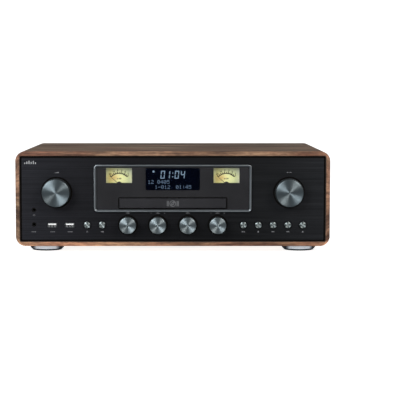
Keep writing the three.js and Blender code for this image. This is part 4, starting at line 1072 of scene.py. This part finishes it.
def button_marks(bm):
    """A plain symbol for its job under each button."""
    drop = 9.4 * MM
    x = {name: middle(name).x for name in BUTTONS}
    z = middle(BUTTONS[0]).z - drop
    power_mark(bm, x["button_power"], z)
    for k in range(3):
        bar_mark(bm, x["button_source"] + (k - 1) * 1.3 * MM, z, 0.8 * MM, (1.0 + 0.5 * k) * MM)
    triangle_mark(bm, x["button_play"] - 1.3 * MM, z, 1.9 * MM)
    for offset in (0.5, 1.5):
        bar_mark(bm, x["button_play"] + offset * MM, z, 0.5 * MM, 1.9 * MM)
    half = 0.9 * MM
    mark(bm, rounded(x["button_stop"] - half, x["button_stop"] + half, z - half, z + half, 0.15 * MM, 2))
    for name, way in (("button_back", -1), ("button_next", 1)):
        for offset in (-0.9, 0.8):
            triangle_mark(bm, x[name] + offset * MM, z, 1.6 * MM, way)
        bar_mark(bm, x[name] + way * 2.0 * MM, z, 0.4 * MM, 1.7 * MM)
    mark(bm, [(x["button_eject"] - 1.2 * MM, z - 0.1 * MM), (x["button_eject"] + 1.2 * MM, z - 0.1 * MM),
              (x["button_eject"], z + 1.2 * MM)])
    bar_mark(bm, x["button_eject"], z - 0.7 * MM, 2.4 * MM, 0.5 * MM)


def knob_marks(bm):
    """Bars over the small knobs, a volume wedge on the left and tuning arrows on the right."""
    for name in SMALL_KNOBS:
        c = middle(name)
        z = c.z + 16.2 * MM
        bar_mark(bm, c.x, z, 5.2 * MM, 0.7 * MM)
        bar_mark(bm, c.x, z + 1.1 * MM, 2.4 * MM, 0.5 * MM)
        if name in ("treble_knob", "menu_knob"):
            aside, length, stroke = 9 * MM, 1.5 * MM, 0.4 * MM
            bar_mark(bm, c.x - aside, z, length, stroke)
            bar_mark(bm, c.x + aside, z, length, stroke)
            bar_mark(bm, c.x + aside, z, stroke, length)
    left = middle("knob_left")
    z = left.z + 27.3 * MM
    half = 3.4 * MM
    mark(bm, [(left.x - half, z - 0.6 * MM), (left.x + half, z - 0.6 * MM), (left.x + half, z + 1.1 * MM)])
    right = middle("knob_right")
    for way in (-1, 1):
        triangle_mark(bm, right.x + way * 2.6 * MM, z + 0.2 * MM, 1.8 * MM, way)
    bar_mark(bm, right.x, z + 0.2 * MM, 2 * MM, 0.5 * MM)


def socket_marks(bm):
    for node in ("usb_port_left", "usb_port_right"):
        c = middle(node)
        z = c.z - 9.2 * MM
        bar_mark(bm, c.x, z, 5.5 * MM, 0.6 * MM)
        triangle_mark(bm, c.x + 3.4 * MM, z, 1.5 * MM)
    head = middle("headphone_socket")
    z = head.z - 7.4 * MM
    mark(bm, arc(head.x, z, 1.2 * MM, 0, 180, 12) + arc(head.x, z, 0.85 * MM, 180, 0, 12))
    for way in (-1, 1):
        bar_mark(bm, head.x + way * 1.05 * MM, z - 0.3 * MM, 0.6 * MM, 1.1 * MM)
    aux = middle("aux_socket")
    z = aux.z - 10.1 * MM
    triangle_mark(bm, aux.x + 2.2 * MM, z, 1.6 * MM)
    bar_mark(bm, aux.x - 1.0 * MM, z, 5.0 * MM, 0.6 * MM)


def emblem(bm):
    """Plain level bars in the upper left corner."""
    x0 = FASCIA_LOW.x + 4.5 * MM
    z0 = FASCIA_HIGH.z - 9.2 * MM
    for k, height in enumerate((2.0, 3.4, 4.6, 3.0, 4.2, 2.2)):
        bar_mark(bm, x0 + (k * 2.9 + 0.8) * MM, z0 + height / 2 * MM, 1.2 * MM, height * MM)


def fascia_marks():
    bm = bmesh.new()
    button_marks(bm)
    knob_marks(bm)
    socket_marks(bm)
    add_piece("fascia_marks", bm, "print", "housing")
    bm = bmesh.new()
    emblem(bm)
    add_piece("level_emblem", bm, "bright_print", "housing")


# ---- Back and underside ----

SOCKET_RISE = 7.5 * MM           # each back socket above or below the middle of its block
BASE_SCREWS = [(x, y) for x in (-90 * MM, 90 * MM) for y in (-90 * MM, 20 * MM, 120 * MM)]


def screw(bm, centre, axis, facing):
    """A plain pan head."""
    radius = 3 * MM
    rise = radius * 0.55 * facing
    dome = [(0, rise * 0.8), (radius * 0.35, rise * 0.95), (radius * 0.8, rise * 0.7),
            (radius, rise * 0.25), (radius, 0), (0, 0)]
    turn(bm, dome, centre, 24, axis)


def back_details():
    low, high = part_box("back_panel")
    y = high.y
    bm = bmesh.new()
    inset = 6 * MM
    xs = [low.x + inset, low.x * 0.33, high.x * 0.33, high.x - inset]
    for x in xs:
        for z in (low.z + inset, high.z - inset):
            screw(bm, Vector((x, y, z)), "Y", 1)
    add_piece("back_screws", bm, "steel", "housing")
    collars = {"white": bmesh.new(), "red": bmesh.new()}
    collar = [(5.6 * MM, y + 0.02 * MM), (5.6 * MM, y + 1.3 * MM),
              (4.35 * MM, y + 1.6 * MM), (4.35 * MM, y + 0.02 * MM)]
    for node, pitch in (("line_sockets", 16 * MM), ("speaker_sockets", 20 * MM)):
        c = axis_of(node)
        for color, sx in (("white", -1), ("red", 1)):
            for sz in (-1, 1):
                place = c + Vector((sx * pitch / 2, 0, sz * SOCKET_RISE))
                turn(collars[color], collar, place, 40)
    for color, made in collars.items():
        add_piece(f"socket_collars_{color}", made, color, "housing")


def underside_details():
    bm = bmesh.new()
    for x, y in BASE_SCREWS:
        screw(bm, Vector((x, y, SLEEVE_LOW.z)), "Z", -1)
    add_piece("base_screws", bm, "steel", "housing")


make_camera()
make_lights()
make_stage()
make_materials()
dress_cad_nodes()
cabinet_wrap()
foot_pieces()
bezel()
door_face()
door_shadow_band()
disc_mark()
display_readout()
display_mask()
for meter_side in SIDES:
    meter(meter_side)
for knob_node in ["knob_left", "knob_right", *SMALL_KNOBS]:
    knob(knob_node)
for button_node in BUTTONS:
    button(button_node)
for port_side in SIDES:
    usb_port(port_side)
for jack_node in ("headphone_socket", "aux_socket"):
    jack_ring(jack_node)
fascia_shadow_band()
fascia_marks()
back_details()
underside_details()
